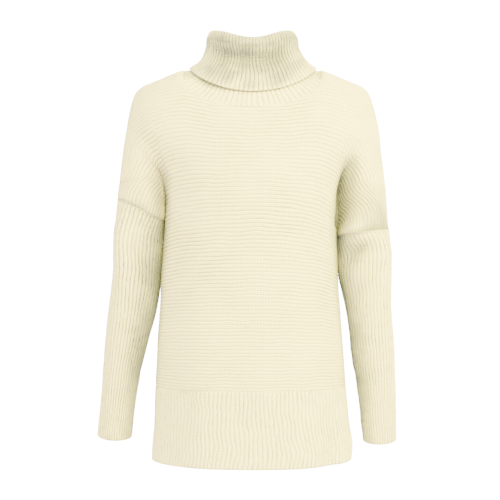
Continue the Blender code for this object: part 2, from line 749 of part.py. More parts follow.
def sleeve_ring(side, z):
    """An oval ring of the sleeve below the armhole, from the underarm over the front."""
    ring = {name: column(flipped(SLEEVES[side]), "z", name, z) for name in ("x", "y", "width", "depth", "tilt")}
    turn = np.linspace(0.0, 2 * math.pi, RING_SAMPLES, endpoint=False)
    tilt = math.radians(ring["tilt"])
    across, forward = -np.cos(turn) * ring["width"], np.sin(turn) * ring["depth"]
    cuff = np.clip((z + 0.56) / (SLEEVES[side]["z"][-1] + 0.56), 0.0, 1.0)
    drop = CUFF_FRONT_DROP * cuff * np.sin(turn)
    x = side * (ring["x"] + across * math.cos(tilt))
    return np.stack([x, ring["y"] - forward, z + across * math.sin(tilt) - drop], axis=1)


def flipped(source):
    """The table with its rows in the other order, so that z rises."""
    return {name: values[::-1] for name, values in source.items()}


def sleeve_fold_push(side, share, z):
    """Soft folds round the sleeve, each a line from one (share, z) to another."""
    folds = SLEEVE_FOLDS[side]
    girth = 0.30
    push = 0.0 * share
    for start, start_z, end, end_z, depth, width in zip(*(folds[n] for n in SLEEVE_FOLD_NAMES.split())):
        line = np.array([(end - start) * girth, end_z - start_z])
        round_way = (share - start + 0.5) % 1.0 - 0.5
        apart = np.stack([round_way * girth, z - start_z], axis=1)
        along = np.clip(apart @ line / (line @ line), 0.0, 1.0)
        off = np.linalg.norm(apart - along[:, None] * line, axis=1)
        push = push - depth * np.exp(-((off / width) ** 2)) * (0.35 + 0.65 * np.sin(math.pi * along))
    return push


def sleeve(side, name):
    """One sleeve: a tube of upright ribs from the armhole to the cuff."""
    half_ribs = 2 * SLEEVE_RIBS
    start = armhole_loop(side) + armhole_direction(side) * SEAM_GAP
    rings = [evenly(start, half_ribs)]
    rings += [evenly(sleeve_ring(side, z), half_ribs) for z in SLEEVES[side]["z"]]
    rings = np.array(rings)
    normals = ring_normals(rings)
    centres = rings[:, :-1].mean(axis=1, keepdims=True)
    normals *= np.sign(np.sum(normals * (rings - centres), axis=2).mean())
    down = armhole_direction(side)
    normals[0] = unit(normals[0] - np.outer(normals[0] @ down, down))
    wall = Wall()
    index = np.arange(half_ribs + 1)
    outer, inner = [], []
    for level, (ring, out) in enumerate(zip(rings, normals)):
        keep = index[::EDGE_STEP]
        if 0 < level < len(rings) - 1:
            keep = index[:: 2 * EDGE_STEP]
            push = sleeve_fold_push(side, index / half_ribs, ring[:, 2])
            ring = ring + out * push[:, None]
        outer.append(wall.line(index, ribbed(ring, out, index)))
        inner.append(wall.line(keep, inside(ring, out)[keep]))
    wall.strips(outer)
    wall.strips(inner)
    wall.strip(outer[0], inner[0])
    wall.strip(outer[-1], inner[-1])
    return wall.build(name, knit(name))


# ---------------------------------------------------------------- collar
def neckline_edge():
    """Points and outward directions along the neckline seam, from the middle of the back over the wearer's
    right shoulder and the front."""
    points, out = [], []
    quarters = (("back", RIGHT, False), ("front", RIGHT, True), ("front", LEFT, False), ("back", LEFT, True))
    for face, side, to_middle in quarters:
        edge = []
        for section in range(HPS + 1):
            rows, line, normals = yoke_column(float(section), face, side)
            if section > 0:
                _, more, more_normals = seam_between(section - 1.0, float(section), face, side)
                way = 1 if rows[-1] > last_row else -1
                edge.extend(zip(more[::way], more_normals[::way]))
            edge.append((line[-1], normals[-1]))
            last_row = rows[-1]
        for point, normal in edge[:0:-1] if to_middle else edge:
            points.append(point)
            out.append(normal)
    return np.array(points), np.array(out)


def collar_ring(row):
    """One oval of the collar at mid-thickness, from the middle of the back over the wearer's right."""
    turn = np.linspace(0.0, 2 * math.pi, RING_SAMPLES, endpoint=False)
    ring = {name: values[row] for name, values in COLLAR.items()}
    ahead, behind = np.maximum(-np.cos(turn), 0.0), np.maximum(np.cos(turn), 0.0)
    z = ring["side_z"] + (ring["front_z"] - ring["side_z"]) * ahead ** ring["sweep"]
    z = z + (ring["back_z"] - ring["side_z"]) * behind ** ring["sweep"]
    y = SEAM_Y + (ring["back"] - SEAM_Y) * behind - (ring["front"] + SEAM_Y) * ahead
    return np.stack([-ring["half"] * np.sin(turn), y, z], axis=1)


def collar():
    """The roll: from the neckline seam up round the neck, folded over at the top, and down to its edge."""
    half_ribs = 2 * COLLAR_RIBS
    edge, out = neckline_edge()
    along = np.roll(edge, -1, axis=0) - np.roll(edge, 1, axis=0)
    edge = edge + unit(np.cross(out, along)) * COLLAR_SEAM_GAP
    closed = np.vstack([edge, edge[:1]])
    at = lengths(closed)
    places = at[-1] * np.arange(half_ribs + 1) / half_ribs
    first_out = unit(read_line(at, np.vstack([out, out[:1]]), places))
    first = read_line(at, closed, places) - first_out * (RIB_HEIGHT + CLOTH) / 2
    rings = [first] + [evenly(collar_ring(row), half_ribs) for row in range(len(COLLAR["half"]))]
    rings = np.array(rings)
    normals = ring_normals(rings)
    normals *= np.sign(np.sum(normals[0] * first_out))
    normals[0] = first_out
    dent = COLLAR_DENT
    for level in range(5, 8):  # a shallow crease across the front of the turned-down part
        ring = rings[level]
        across = (ring[:, 0] - dent["x"]) / dent["width"]
        up = (ring[:, 2] - dent["z"]) / dent["height"]
        ring[:, 1] += dent["depth"] * np.exp(-(across**2) - up**2) * (ring[:, 1] < 0)
    ribs_in = np.append(0, COLLAR["ribs_in"])
    ribs_out = np.append(1, COLLAR["ribs_out"])
    index = np.arange(half_ribs + 1)
    wall = Wall()
    neck_side, far_side = [], []
    for level, (ring, out_now) in enumerate(zip(rings, normals)):
        for lines, ribs, sign in ((neck_side, ribs_in, -1), (far_side, ribs_out, 1)):
            plain_step = EDGE_STEP if level in (0, COLLAR_FOLD, len(rings) - 1) else 2 * EDGE_STEP
            keep = index[:: 1 if ribs[level] else plain_step]
            height = RIB_HEIGHT * triangle_wave(keep) * ribs[level]
            lines.append(wall.line(keep, ring[keep] + sign * out_now[keep] * (CLOTH / 2 + height)[:, None]))
    wall.strips(neck_side)
    wall.strips(far_side)
    wall.strip(neck_side[0], far_side[0])
    wall.strip(neck_side[-1], far_side[-1])
    return wall.build("collar", knit("collar"))


# ---------------------------------------------------------------- the jumper
def main():
    for thing in list(bpy.data.objects):
        bpy.data.objects.remove(thing)
    for face in FACES:
        body_panel(face)
        hem_piece(face)
    sleeve(RIGHT, "sleeve_right")
    sleeve(LEFT, "sleeve_left")
    collar()
    for thing in bpy.context.scene.objects:
        print(thing.name, len(thing.data.polygons), "faces")


main()
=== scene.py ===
# %% [markdown]
# # A roll-neck jumper in chunky rib
# The jumper is knitted in a rib: ridges of fat V-shaped stitches with narrow grooves between them. On the
# body the ribs lie level and bend down over the upper arms; on the sleeves, the hem and the collar they stand
# upright. The imported model gives its true size and place. It is loaded first, and its solids are kept,
# hidden.

# %% Load the frame
import json
import math

import bpy
import numpy as np
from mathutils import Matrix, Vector
from mathutils.bvhtree import BVHTree
from mathutils.kdtree import KDTree

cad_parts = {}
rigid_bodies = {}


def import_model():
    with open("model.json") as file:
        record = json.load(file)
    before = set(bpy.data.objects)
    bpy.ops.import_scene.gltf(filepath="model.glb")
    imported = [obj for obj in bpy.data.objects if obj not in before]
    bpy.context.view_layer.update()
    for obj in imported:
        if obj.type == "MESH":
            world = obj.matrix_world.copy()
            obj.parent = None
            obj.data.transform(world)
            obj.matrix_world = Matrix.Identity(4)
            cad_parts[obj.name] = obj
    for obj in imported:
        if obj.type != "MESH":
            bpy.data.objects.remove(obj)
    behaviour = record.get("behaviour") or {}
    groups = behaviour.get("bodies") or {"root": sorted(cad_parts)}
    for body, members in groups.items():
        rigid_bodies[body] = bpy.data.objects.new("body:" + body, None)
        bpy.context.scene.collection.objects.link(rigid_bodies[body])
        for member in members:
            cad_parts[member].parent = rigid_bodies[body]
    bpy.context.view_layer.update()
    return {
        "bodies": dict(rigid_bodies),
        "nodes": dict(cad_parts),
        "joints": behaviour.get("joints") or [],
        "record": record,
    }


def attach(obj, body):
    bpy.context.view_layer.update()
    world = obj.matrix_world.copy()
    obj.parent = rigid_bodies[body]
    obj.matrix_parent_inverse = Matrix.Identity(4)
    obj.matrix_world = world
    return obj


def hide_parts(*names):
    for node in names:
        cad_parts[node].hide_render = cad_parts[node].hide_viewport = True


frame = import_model()
bpy.ops.object.select_all(action="DESELECT")

# %% [markdown]
# ## Camera
# A long lens far away keeps the shape of a garment true. The camera stands level with the middle of the
# jumper, straight in front of it, so that no side is seen more than the other.

# %% Camera
CAMERA_PLACE = (-0.0035, -2.6, -0.3115)
VIEW_WIDTH = 0.875  # metres across the picture, at the side seams
SENSOR = 36.0

bpy.ops.object.camera_add(location=CAMERA_PLACE, rotation=(math.pi / 2, 0.0, 0.0))
camera = bpy.context.object
camera.name = "camera"
camera.data.sensor_width = SENSOR
camera.data.lens = SENSOR * -CAMERA_PLACE[1] / VIEW_WIDTH
bpy.context.scene.camera = camera
print("lens", round(camera.data.lens, 1), "mm")

# %% [markdown]
# ## Light and floor
# White knit on white needs soft light from all round, and lights that stand apart, so that each rib has a
# bright and a dim flank. One square light stands above the camera, one on each side of it, of which the
# right one is the stronger, and one lights the back. Warm lights and a cool surrounding keep lit wool cream
# and its folds grey. The floor lies well below, out of the picture, and throws light back up.

# %% Light
AMBIENT = 1.15
AMBIENT_TINT = (0.95, 1.0, 1.55, 1.0)  # cool, so that the folds look grey beside the warm lit cloth
SEEN_WHITE = 20.0  # as strong as it takes for the background to come out pure white
LIGHT_TINT = (1.0, 0.835, 0.07)  # warm, so that the brightest cloth stays cream and not white
MIDDLE = (0.0, 0.0, -0.30)  # what the lights face
LIGHTS = (  # name, place, size and watts
    ("front", (0.3, -2.2, 1.7), 1.0, 470.0),
    ("key", (2.2, -1.4, 0.6), 0.6, 420.0),
    ("left", (-2.0, -1.8, 0.9), 0.8, 175.0),
    ("back", (0.4, 2.6, 1.2), 1.0, 480.0),
)

world = bpy.context.scene.world or bpy.data.worlds.new("studio")
bpy.context.scene.world = world
world.use_nodes = True
tree = world.node_tree
tree.nodes.clear()
out = tree.nodes.new("ShaderNodeOutputWorld")
mix = tree.nodes.new("ShaderNodeMixShader")
rays = tree.nodes.new("ShaderNodeLightPath")
seen = tree.nodes.new("ShaderNodeBackground")
given = tree.nodes.new("ShaderNodeBackground")
seen.inputs["Color"].default_value = (1.0, 1.0, 1.0, 1.0)
seen.inputs["Strength"].default_value = SEEN_WHITE
given.inputs["Color"].default_value = AMBIENT_TINT
given.inputs["Strength"].default_value = AMBIENT
tree.links.new(rays.outputs["Is Camera Ray"], mix.inputs["Fac"])
tree.links.new(given.outputs["Background"], mix.inputs[1])
tree.links.new(seen.outputs["Background"], mix.inputs[2])
tree.links.new(mix.outputs["Shader"], out.inputs["Surface"])


def area_light(name, place, size, watts):
    """A square soft light that faces the middle of the jumper."""
    bpy.ops.object.light_add(type="AREA", location=place)
    light = bpy.context.object
    light.name = name
    light.data.shape = "SQUARE"
    light.data.size = size
    light.data.energy = watts
    light.data.color = LIGHT_TINT
    light.rotation_euler = (Vector(MIDDLE) - Vector(place)).to_track_quat("-Z", "Y").to_euler()


for row in LIGHTS:
    area_light(*row)

# %% Floor
FLOOR_PLACE = (0.0, -1.2, -1.15)
FLOOR_SIZE = 5.0
PALE = (0.88, 0.88, 0.87, 1.0)

bpy.ops.mesh.primitive_plane_add(size=FLOOR_SIZE, location=FLOOR_PLACE)
floor = bpy.context.object
floor.name = "floor"
bpy.ops.object.transform_apply(location=True, rotation=True, scale=True)
pale = bpy.data.materials.new("pale floor")
pale.use_nodes = True
paint = pale.node_tree.nodes["Principled BSDF"]
paint.inputs["Base Color"].default_value = PALE
paint.inputs["Roughness"].default_value = 0.9
floor.data.materials.append(pale)
print("floor at", FLOOR_PLACE[2])

# %% [markdown]
# ## Sizes
# The jumper's shape is given by a few short tables: how wide and deep the body is at each height, the line
# of the shoulders, the creases at the armpits, and the rings of the sleeves and collar. All are in metres.

# %% Sizes of the knit
CLOTH = 0.0024  # thickness of the knit
RIB_HEIGHT = 0.0021  # ridge above groove
SEAM_GAP = 0.0003
SEAM_Y = 0.004  # the shoulder and side seams lie in this plane
SEAM_DIP = 0.0004  # the body's edges turn in a little at a seam
TUCK = 0.0026  # the pieces sewn to it run in under them by this much
TUCK_DEPTH = 0.0018  # and lie this far under there
STITCH = 0.0047  # length of one stitch along its rib
RIGHT, LEFT = -1, 1  # the wearer's sides, as signs of X
FACES = {"front": -1, "back": 1}  # as signs of Y

UNDERARM_Z = -0.239  # the ribs above and below this level are laid out apart
HEM_TOP_Z = -0.548
HEM_END_Z = -0.678
BODY_ROUNDNESS = 2.3  # 2 is an oval, and more is boxier
ARM_ROUNDNESS = 2.2
BLEND = 4.0  # how tightly body and arm run into each other
CLOSING_START_Z = -0.20  # the body rounds in to the shoulders above this
ARM_CLOSING_START_Z = -0.12
CLOSING = {"front": 2.0, "back": 3.0}  # how fully it stays out on the way up
NECK_HALF_WIDTH = 0.121
NECK_SIDE_Z = 0.003
NECK_DROP = {"front": 0.0695, "back": 0.011}
NECK_ROUNDNESS = 2.4
BODY_RIBS = 49
BODY_RIB_EASE = 0.12  # the ribs below the arms are a little wider at the top
SLEEVE_RIBS = 44
HEM_RIBS = 68
COLLAR_RIBS = 76
print("ribs on the body below the arms", BODY_RIBS, "and round the collar", COLLAR_RIBS)


# %% Tables of the body
def table(text):
    """A dictionary of columns from a short table, whose first row has their names."""
    names, *rows = (row.split() for row in text.strip().splitlines())
    return dict(zip(names, np.array(rows, float).T))


TORSO = table("""
         z   right    left  front   back
    -0.678  0.1750  0.1730  0.134  0.131
    -0.655  0.1740  0.1750  0.133  0.130
    -0.610  0.1700  0.1690  0.130  0.126
    -0.548  0.1675  0.1640  0.127  0.119
    -0.470  0.1645  0.1580  0.122  0.109
    -0.400  0.1605  0.1520  0.120  0.103
    -0.350  0.1575  0.1495  0.122  0.103
    -0.300  0.1535  0.1480  0.124  0.104
    -0.245  0.1510  0.1475  0.127  0.107
    -0.215  0.1530  0.1490  0.127  0.110
    -0.180  0.1600  0.1570  0.126  0.112
    -0.140  0.1760  0.1740  0.123  0.114
    -0.100  0.1950  0.1950  0.120  0.116
    -0.060  0.2080  0.2080  0.118  0.118
     0.015  0.2120  0.2120  0.116  0.118
""")
SHOULDER_LINE = table("""
         x        z
    0.0000    0.012
    0.0600    0.010
    0.1210    0.003
    0.1480  -0.0075
    0.1720  -0.0175
    0.1900  -0.0250
    0.2020  -0.0350
    0.2090  -0.0490
    0.2145  -0.0700
    0.2195  -0.0960
    0.2250  -0.1350
    0.2295  -0.1720
    0.2335  -0.2120
    0.2365  -0.2500
    0.2410  -0.2900
""")
ARMHOLE = {RIGHT: {"under_z": -0.262, "top_z": -0.222}, LEFT: {"under_z": -0.285, "top_z": -0.276}}
ARM_INNER = table("""
     rise  inset
    0.000  0.000
    0.030  0.003
    0.060  0.010
    0.100  0.026
    0.150  0.048
    0.200  0.070
    0.300  0.095
""")
UNDERARM_EASE = 0.002
ARM_DEPTH = {"front": 0.062, "back": 0.060}
# The crease at an armpit is steep on the body's side, by its width, and long on the arm's side, by its reach.
ARMPIT = {
    RIGHT: table("""
             z       x  depth  width  reach
        -0.258  0.1525  0.000  0.009  0.018
        -0.232  0.1520  0.008  0.009  0.020
        -0.200  0.1535  0.013  0.010  0.022
        -0.178  0.1585  0.014  0.012  0.022
        -0.155  0.1660  0.010  0.015  0.022
        -0.127  0.1750  0.005  0.018  0.022
        -0.100  0.1820  0.000  0.020  0.020
    """),
    LEFT: table("""
             z       x  depth   width  reach
        -0.281  0.1480  0.000   0.007  0.024
        -0.262  0.1480  0.026   0.004  0.030
        -0.226  0.1485  0.044  0.0035  0.036
        -0.194  0.1520  0.046   0.004  0.036
        -0.172  0.1600  0.034   0.006  0.032
        -0.150  0.1720  0.015   0.011  0.024
        -0.120  0.1890  0.000   0.018  0.018
    """),
}
SECTIONS = table("""
    foot_deg   top_x  bow_x  bow_z    pitch
         0.0  0.0000  0.000  0.000  0.00665
        19.0  0.0650  0.000  0.000  0.00680
        38.0  0.1210  0.000  0.000  0.00735
        55.0  0.1870  0.008  0.000  0.00740
        68.0  0.2090  0.036  0.030  0.00745
        79.0  0.2240  0.048  0.060  0.00750
        90.0  0.2320  0.052  0.070  0.00720
        90.0  0.2345  0.000  0.000  0.00665
""")
SECTION_NUMBERS = np.arange(len(SECTIONS["pitch"]), dtype=float)
NECK_POINT = 2.0  # the section that ends where neckline and shoulder seam meet
ARMHOLE_SECTION = 7.0
print("body table rows", len(TORSO["z"]), "sections", len(SECTION_NUMBERS))

# %% [markdown]
# ## Folds
# Thick knit makes few folds, and they are soft: long shallow troughs with a low ridge beside them. Each row
# below is one fold. Those of the body run from one place to another in the front view; those of a sleeve
# run from one place to another round it. No two have the same length, depth or width.

# %% Tables of the folds
BODY_FOLDS = {
    "front": table("""
        angle     low    high    depth  width
          3.0  -0.600  -0.470  -0.0030    7.0
         -9.0  -0.680  -0.500   0.0035    9.0
        -26.0  -0.590  -0.450  -0.0030   12.0
         38.0  -0.480  -0.180   0.0030   14.0
         47.0  -0.770  -0.540   0.0140    9.0
        -45.0  -0.720  -0.560   0.0040   14.0
         22.0  -0.720  -0.580  -0.0030   12.0
    """),
    "back": table("""
        angle     low    high    depth  width
         -6.0  -0.700  -0.420   0.0040   10.0
         30.0  -0.640  -0.330   0.0040   13.0
        -38.0  -0.560  -0.260   0.0035   13.0
         12.0  -0.720  -0.560  -0.0035   11.0
         58.0  -0.720  -0.500   0.0045   14.0
        -60.0  -0.720  -0.560   0.0045   14.0
    """),
}
BODY_CREASES = {
    "front": table("""
            x0      z0      x1      z1    depth  width
        -0.148  -0.196  -0.090  -0.150   0.0016  0.013
        -0.150  -0.232  -0.105  -0.214   0.0012  0.010
         0.150  -0.214   0.088  -0.168   0.0017  0.014
         0.146  -0.262   0.112  -0.240   0.0013  0.010
        -0.205  -0.100  -0.186  -0.185   0.0014  0.012
         0.212  -0.118   0.192  -0.205   0.0015  0.013
         0.000  -0.080   0.000  -0.340  -0.0016  0.005
         0.000  -0.330   0.001  -0.560  -0.0018  0.005
         0.030  -0.300   0.120  -0.262   0.0010  0.018
        -0.120  -0.380  -0.030  -0.345   0.0009  0.020
         0.060  -0.460   0.140  -0.430   0.0011  0.017
    """),
    "back": table("""
            x0      z0      x1      z1   depth  width
        -0.146  -0.205  -0.084  -0.158  0.0018  0.014
        -0.148  -0.246  -0.112  -0.226  0.0012  0.011
         0.150  -0.222   0.080  -0.172  0.0019  0.015
         0.144  -0.268   0.104  -0.244  0.0012  0.011
        -0.207  -0.112  -0.188  -0.190  0.0014  0.013
         0.210  -0.124   0.190  -0.212  0.0015  0.013
        -0.080  -0.330   0.010  -0.300  0.0014  0.020
         0.120  -0.410   0.020  -0.372  0.0016  0.019
        -0.130  -0.480  -0.050  -0.452  0.0013  0.018
        -0.030  -0.090   0.040  -0.094  0.0010  0.016
    """),
}
SLEEVE_FOLDS = {
    RIGHT: table("""
        start  start_z   end   end_z   depth  width
         0.16   -0.290  0.27  -0.250  0.0050  0.013
         0.13   -0.345  0.28  -0.300  0.0045  0.014
         0.90   -0.400  0.72  -0.350  0.0045  0.016
         0.92   -0.470  0.74  -0.430  0.0040  0.016
         0.08   -0.430  0.24  -0.392  0.0022  0.013
         0.98   -0.520  0.14  -0.545  0.0018  0.011
         0.33   -0.560  0.20  -0.590  0.0014  0.010
         0.78   -0.560  0.90  -0.585  0.0018  0.012
    """),
    LEFT: table("""
        start  start_z   end   end_z    depth  width
         0.09   -0.332  0.25  -0.298   0.0110  0.012
         0.10   -0.305  0.24  -0.278  -0.0050  0.012
         0.12   -0.395  0.30  -0.350   0.0040  0.015
         0.90   -0.390  0.72  -0.340   0.0045  0.016
         0.92   -0.470  0.74  -0.430   0.0040  0.016
         0.06   -0.455  0.22  -0.425   0.0022  0.013
         0.97   -0.530  0.13  -0.550   0.0018  0.011
         0.36   -0.590  0.24  -0.610   0.0014  0.010
         0.80   -0.575  0.92  -0.600   0.0018  0.012
    """),
}
for face in FACES:
    print(face, "folds", len(BODY_FOLDS[face]["angle"]), "creases", len(BODY_CREASES[face]["x0"]))

# %% Tables of the sleeves and the collar
SLEEVES = {
    RIGHT: table("""
             x       y        z   width   depth  tilt
        0.1960   0.005   -0.294  0.0425  0.0570  10.0
        0.1996   0.007   -0.346  0.0421  0.0530   4.0
        0.2070   0.009   -0.405  0.0415  0.0485   2.0
        0.2200   0.009   -0.480  0.0350  0.0425   2.0
        0.2325   0.001   -0.560  0.0298  0.0355   4.0
        0.2410  -0.009  -0.6345  0.0287  0.0315   5.0
    """),
    LEFT: table("""
             x       y        z   width   depth  tilt
        0.1950   0.005   -0.311  0.0450  0.0575   3.0
        0.1977   0.007   -0.355  0.0443  0.0540   2.0
        0.2030   0.009   -0.410  0.0395  0.0490   2.0
        0.2110   0.009   -0.485  0.0370  0.0430   2.0
        0.2185   0.001   -0.565  0.0328  0.0365   4.0
        0.2235  -0.009  -0.6410  0.0292  0.0325   4.0
    """),
}
CUFF_FRONT_DROP = 0.006
SLEEVE_SKEW = {"top": 0.55, "cuff": 0.05}  # a sleeve leans away from the body, by this share of its width
COLLAR = table("""
    middle    half   front    back  side_z  front_z  back_z  sweep
    0.0000  0.1045  0.0775  0.0770  0.0028  -0.0450  0.0000    1.6
    0.0000  0.0850  0.0640  0.0690  0.0060  -0.0260  0.0110    1.8
    0.0000  0.0670  0.0360  0.0590  0.0430   0.0160  0.0390    3.0
    0.0000  0.0730  0.0548  0.0640  0.0688   0.0528  0.0600    4.4
    0.0003  0.0775  0.0650  0.0695  0.0600   0.0415  0.0520    3.6
    0.0014  0.0802  0.0490  0.0695  0.0410   0.0115  0.0360    2.5
    0.0028  0.0930  0.0690  0.0770  0.0195  -0.0150  0.0190    1.8
    0.0016  0.1110  0.0840  0.0890  0.0060  -0.0412  0.0020   1.45
""")
COLLAR_DENT = {"x": -0.020, "z": 0.020, "depth": 0.0075, "width": 0.046, "height": 0.018}
print("collar rings", len(COLLAR["half"]))

# %% [markdown]
# ## Curves
# Each piece is worked out as a fine grid of points: one direction along the ribs, the other across them. A
# few helpers read the tables smoothly and measure along lines.


# %% Curve helpers
def smooth(xs, ys, x):
    """A smooth curve through (xs, ys), read at x: cubic pieces with the slopes of the neighbouring points."""
    slopes = np.gradient(ys, xs, axis=0)
    x = np.clip(x, xs[0], xs[-1])
    i = np.clip(np.searchsorted(xs, x) - 1, 0, len(xs) - 2)
    step, t = xs[i + 1] - xs[i], (x - xs[i]) / (xs[i + 1] - xs[i])
    if ys.ndim > 1:
        extra = (...,) + (None,) * (ys.ndim - 1)
        step, t = step[extra], t[extra]
    return (
        ys[i] * (1 + 2 * t) * (1 - t) ** 2
        + slopes[i] * step * t * (1 - t) ** 2
        + ys[i + 1] * t**2 * (3 - 2 * t)
        + slopes[i + 1] * step * t**2 * (t - 1)
    )


def column(source, key, name, x):
    return smooth(source[key], source[name], x)


def lengths(points):
    """Distance along a line of points, from its first point."""
    return np.concatenate([[0.0], np.cumsum(np.linalg.norm(np.diff(points, axis=0), axis=1))])


def read_line(stations, values, at):
    return np.stack([np.interp(at, stations, values[:, k]) for k in range(values.shape[1])], axis=1)


def unit(vectors):
    return vectors / np.maximum(np.linalg.norm(vectors, axis=-1, keepdims=True), 1e-12)


def oval(share, power):
    """Height of a rounded arch over -1..1, 1 in the middle and 0 at both ends."""
    return (1.0 - np.clip(np.abs(share), 0.0, 1.0) ** power) ** (1.0 / power)


def closed(loop):
    return np.vstack([loop, loop[:1]])


def evenly(loop, shares):
    """Points at the given shares of the way round a closed line."""
    at = lengths(closed(loop))
    return read_line(at, closed(loop), at[-1] * np.asarray(shares))


halfway = smooth(np.arange(3.0), np.array([0.0, 1.0, 0.0]), 0.5)
print("a smooth curve through 0, 1, 0 reads", round(float(halfway), 3))

# %% [markdown]
# ## What makes it look knitted by hand
# A machine-straight grid looks like corduroy. Real ribs wander a little, and some stand prouder than
# others. The unevenness here is a sum of slow waves whose directions and phases come from a fixed seed.

# %% Ribs and their unevenness
RIB_PLACES = np.array([0.0, 0.10, 0.24, 0.5, 0.76, 0.90])  # points across one rib, from groove to groove
RIB_FULLNESS = 2.4  # how square the ridges are
RIB_STEEPNESS = 0.65  # below 1, how sharply they rise from the groove
WAVES = 14
WAVE_COUNTS = (0.6, 1.6)  # waves in one stated wavelength, at least and at most
WAVE_SCALE = 1.6  # keeps the sum mostly within 1


def uneven(points, wavelength, seed):
    """A smooth random value between about -1 and 1 at each point."""
    rng = np.random.default_rng(seed)
    directions = unit(rng.normal(size=(WAVES, 3))) * rng.uniform(*WAVE_COUNTS, size=(WAVES, 1))
    phases = rng.uniform(0.0, 2 * math.pi, size=WAVES)
    angles = points @ directions.T * (2 * math.pi / wavelength) + phases
    return np.sin(angles).sum(axis=-1) / math.sqrt(WAVES / 2) / WAVE_SCALE


def rib_stations(ribs):
    """Places across a number of ribs, with more of them near the grooves; whole numbers are grooves."""
    return np.append((np.arange(ribs)[:, None] + RIB_PLACES).ravel(), float(ribs))


def rib_height(station):
    """Height of the ribs over their middle, from -0.5 in a groove to 0.5 on a ridge."""
    across = np.abs(2.0 * (station % 1.0) - 1.0)
    return np.maximum(1.0 - across**RIB_FULLNESS, 0.0) ** RIB_STEEPNESS - 0.5


print("points across a rib", len(RIB_PLACES))


# %% [markdown]
# ## The form of body and arms
# Above the underarm the front view is filled by two rounded forms that run into each other: the body's oval
# and the upper arm's. Where they meet lies the armpit crease. Below the underarm the body is one oval.


# %% Body and arm
REACH_POWER = 1.3  # how the armpit's crease runs out towards the arm
OUTLINE_LENGTH = lengths(np.stack([SHOULDER_LINE["x"], SHOULDER_LINE["z"]], axis=1))
OUTLINE_AT = np.linspace(0.0, OUTLINE_LENGTH[-1], 300)  # places along the shoulder line
OUTLINE_X = smooth(OUTLINE_LENGTH, SHOULDER_LINE["x"], OUTLINE_AT)
OUTLINE_Z = smooth(OUTLINE_LENGTH, SHOULDER_LINE["z"], OUTLINE_AT)


def half_width(z, side):
    return column(TORSO, "z", "right" if side == RIGHT else "left", z)


def torso_depth(z, face):
    return column(TORSO, "z", face, z)


def outline_height(x):
    return np.interp(x, OUTLINE_X, OUTLINE_Z)


def arm_inner(z, side):
    under_z = ARMHOLE[side]["under_z"]
    return half_width(under_z, side) + UNDERARM_EASE - column(ARM_INNER, "rise", "inset", z - under_z)


def closing(x, z, start_z, power):
    """1 on the body, rounding to 0 at the shoulder line."""
    room = np.maximum(outline_height(x) - start_z, 1e-6)
    return oval(np.clip((z - start_z) / room, 0.0, 1.0), power)


def armpit_depth(x, z, side):
    crease = ARMPIT[side]
    inside = (z > crease["z"][0]) & (z < crease["z"][-1])
    depth = np.maximum(column(crease, "z", "depth", z), 0.0) * inside
    off = x - column(crease, "z", "x", z)
    steep = np.exp(-((off / column(crease, "z", "width", z)) ** 2))
    gentle = np.exp(-((np.maximum(off, 0.0) / column(crease, "z", "reach", z)) ** REACH_POWER))
    return depth * np.where(off > 0, gentle, steep)


def surface_depth(x, z, face, side):
    """How far the cloth stands off the seam plane, above the underarm."""
    body = torso_depth(z, face) * oval(x / half_width(z, side), BODY_ROUNDNESS)
    body = body * closing(x, z, CLOSING_START_Z, CLOSING[face])
    inner, outer = arm_inner(z, side), np.interp(-z, -OUTLINE_Z, OUTLINE_X)
    across = (x - (inner + outer) / 2) / ((outer - inner) / 2)
    arm = ARM_DEPTH[face] * oval(across, ARM_ROUNDNESS)
    arm = arm * closing(x, z, ARM_CLOSING_START_Z, ARM_ROUNDNESS)
    merged = (body**BLEND + arm**BLEND) ** (1.0 / BLEND)
    return np.maximum(merged - armpit_depth(x, z, side), 0.0)


def seam_plane(face):
    return SEAM_Y + FACES[face] * SEAM_GAP / 2


def fold_push(angle, z, face):
    """How far the upright folds move the body's wall outwards."""
    push = 0.0
    for middle, low, high, depth, width in zip(*BODY_FOLDS[face].values()):
        along = np.clip((z - low) / (high - low), 0.0, 1.0)
        push = push - depth * np.exp(-(((angle - middle) / width) ** 2)) * np.sin(math.pi * along) ** 2
    return push


def underarm_height(angle, side):
    return UNDERARM_Z + (ARMHOLE[side]["under_z"] - UNDERARM_Z) * (angle / 90.0) ** 2


def body_point(angle, z, face, side):
    """A point of the body below the underarm, by its angle round the body."""
    turn = np.radians(angle)
    x = half_width(z, side) * np.sin(turn) ** (2 / BODY_ROUNDNESS)
    depth = torso_depth(z, face) * np.maximum(np.cos(turn), 0.0) ** (2 / BODY_ROUNDNESS)
    depth = depth + fold_push(side * angle, z, face) * np.sqrt(np.maximum(np.cos(turn), 0.0))
    return np.stack([side * x, seam_plane(face) + FACES[face] * depth, z + 0 * x], axis=-1)


chest_depth = surface_depth(np.float64(0.0), np.float64(-0.15), "front", LEFT)
print("depth of the chest", round(float(chest_depth), 4))

# %% [markdown]
# Above the underarm the ribs are laid out along sections: lines from the underarm up to the shoulder seam,
# like the columns of a fan. Each rib crosses all sections at the same distance from the underarm row, so
# the ribs lie level on the chest and turn down over the arm by themselves.

# %% Sections of the yoke
SAMPLES = 181
ALONG = (1 - np.cos(np.linspace(0.0, math.pi, SAMPLES))) / 2


def section_value(name, section):
    return np.interp(section, SECTION_NUMBERS, SECTIONS[name])


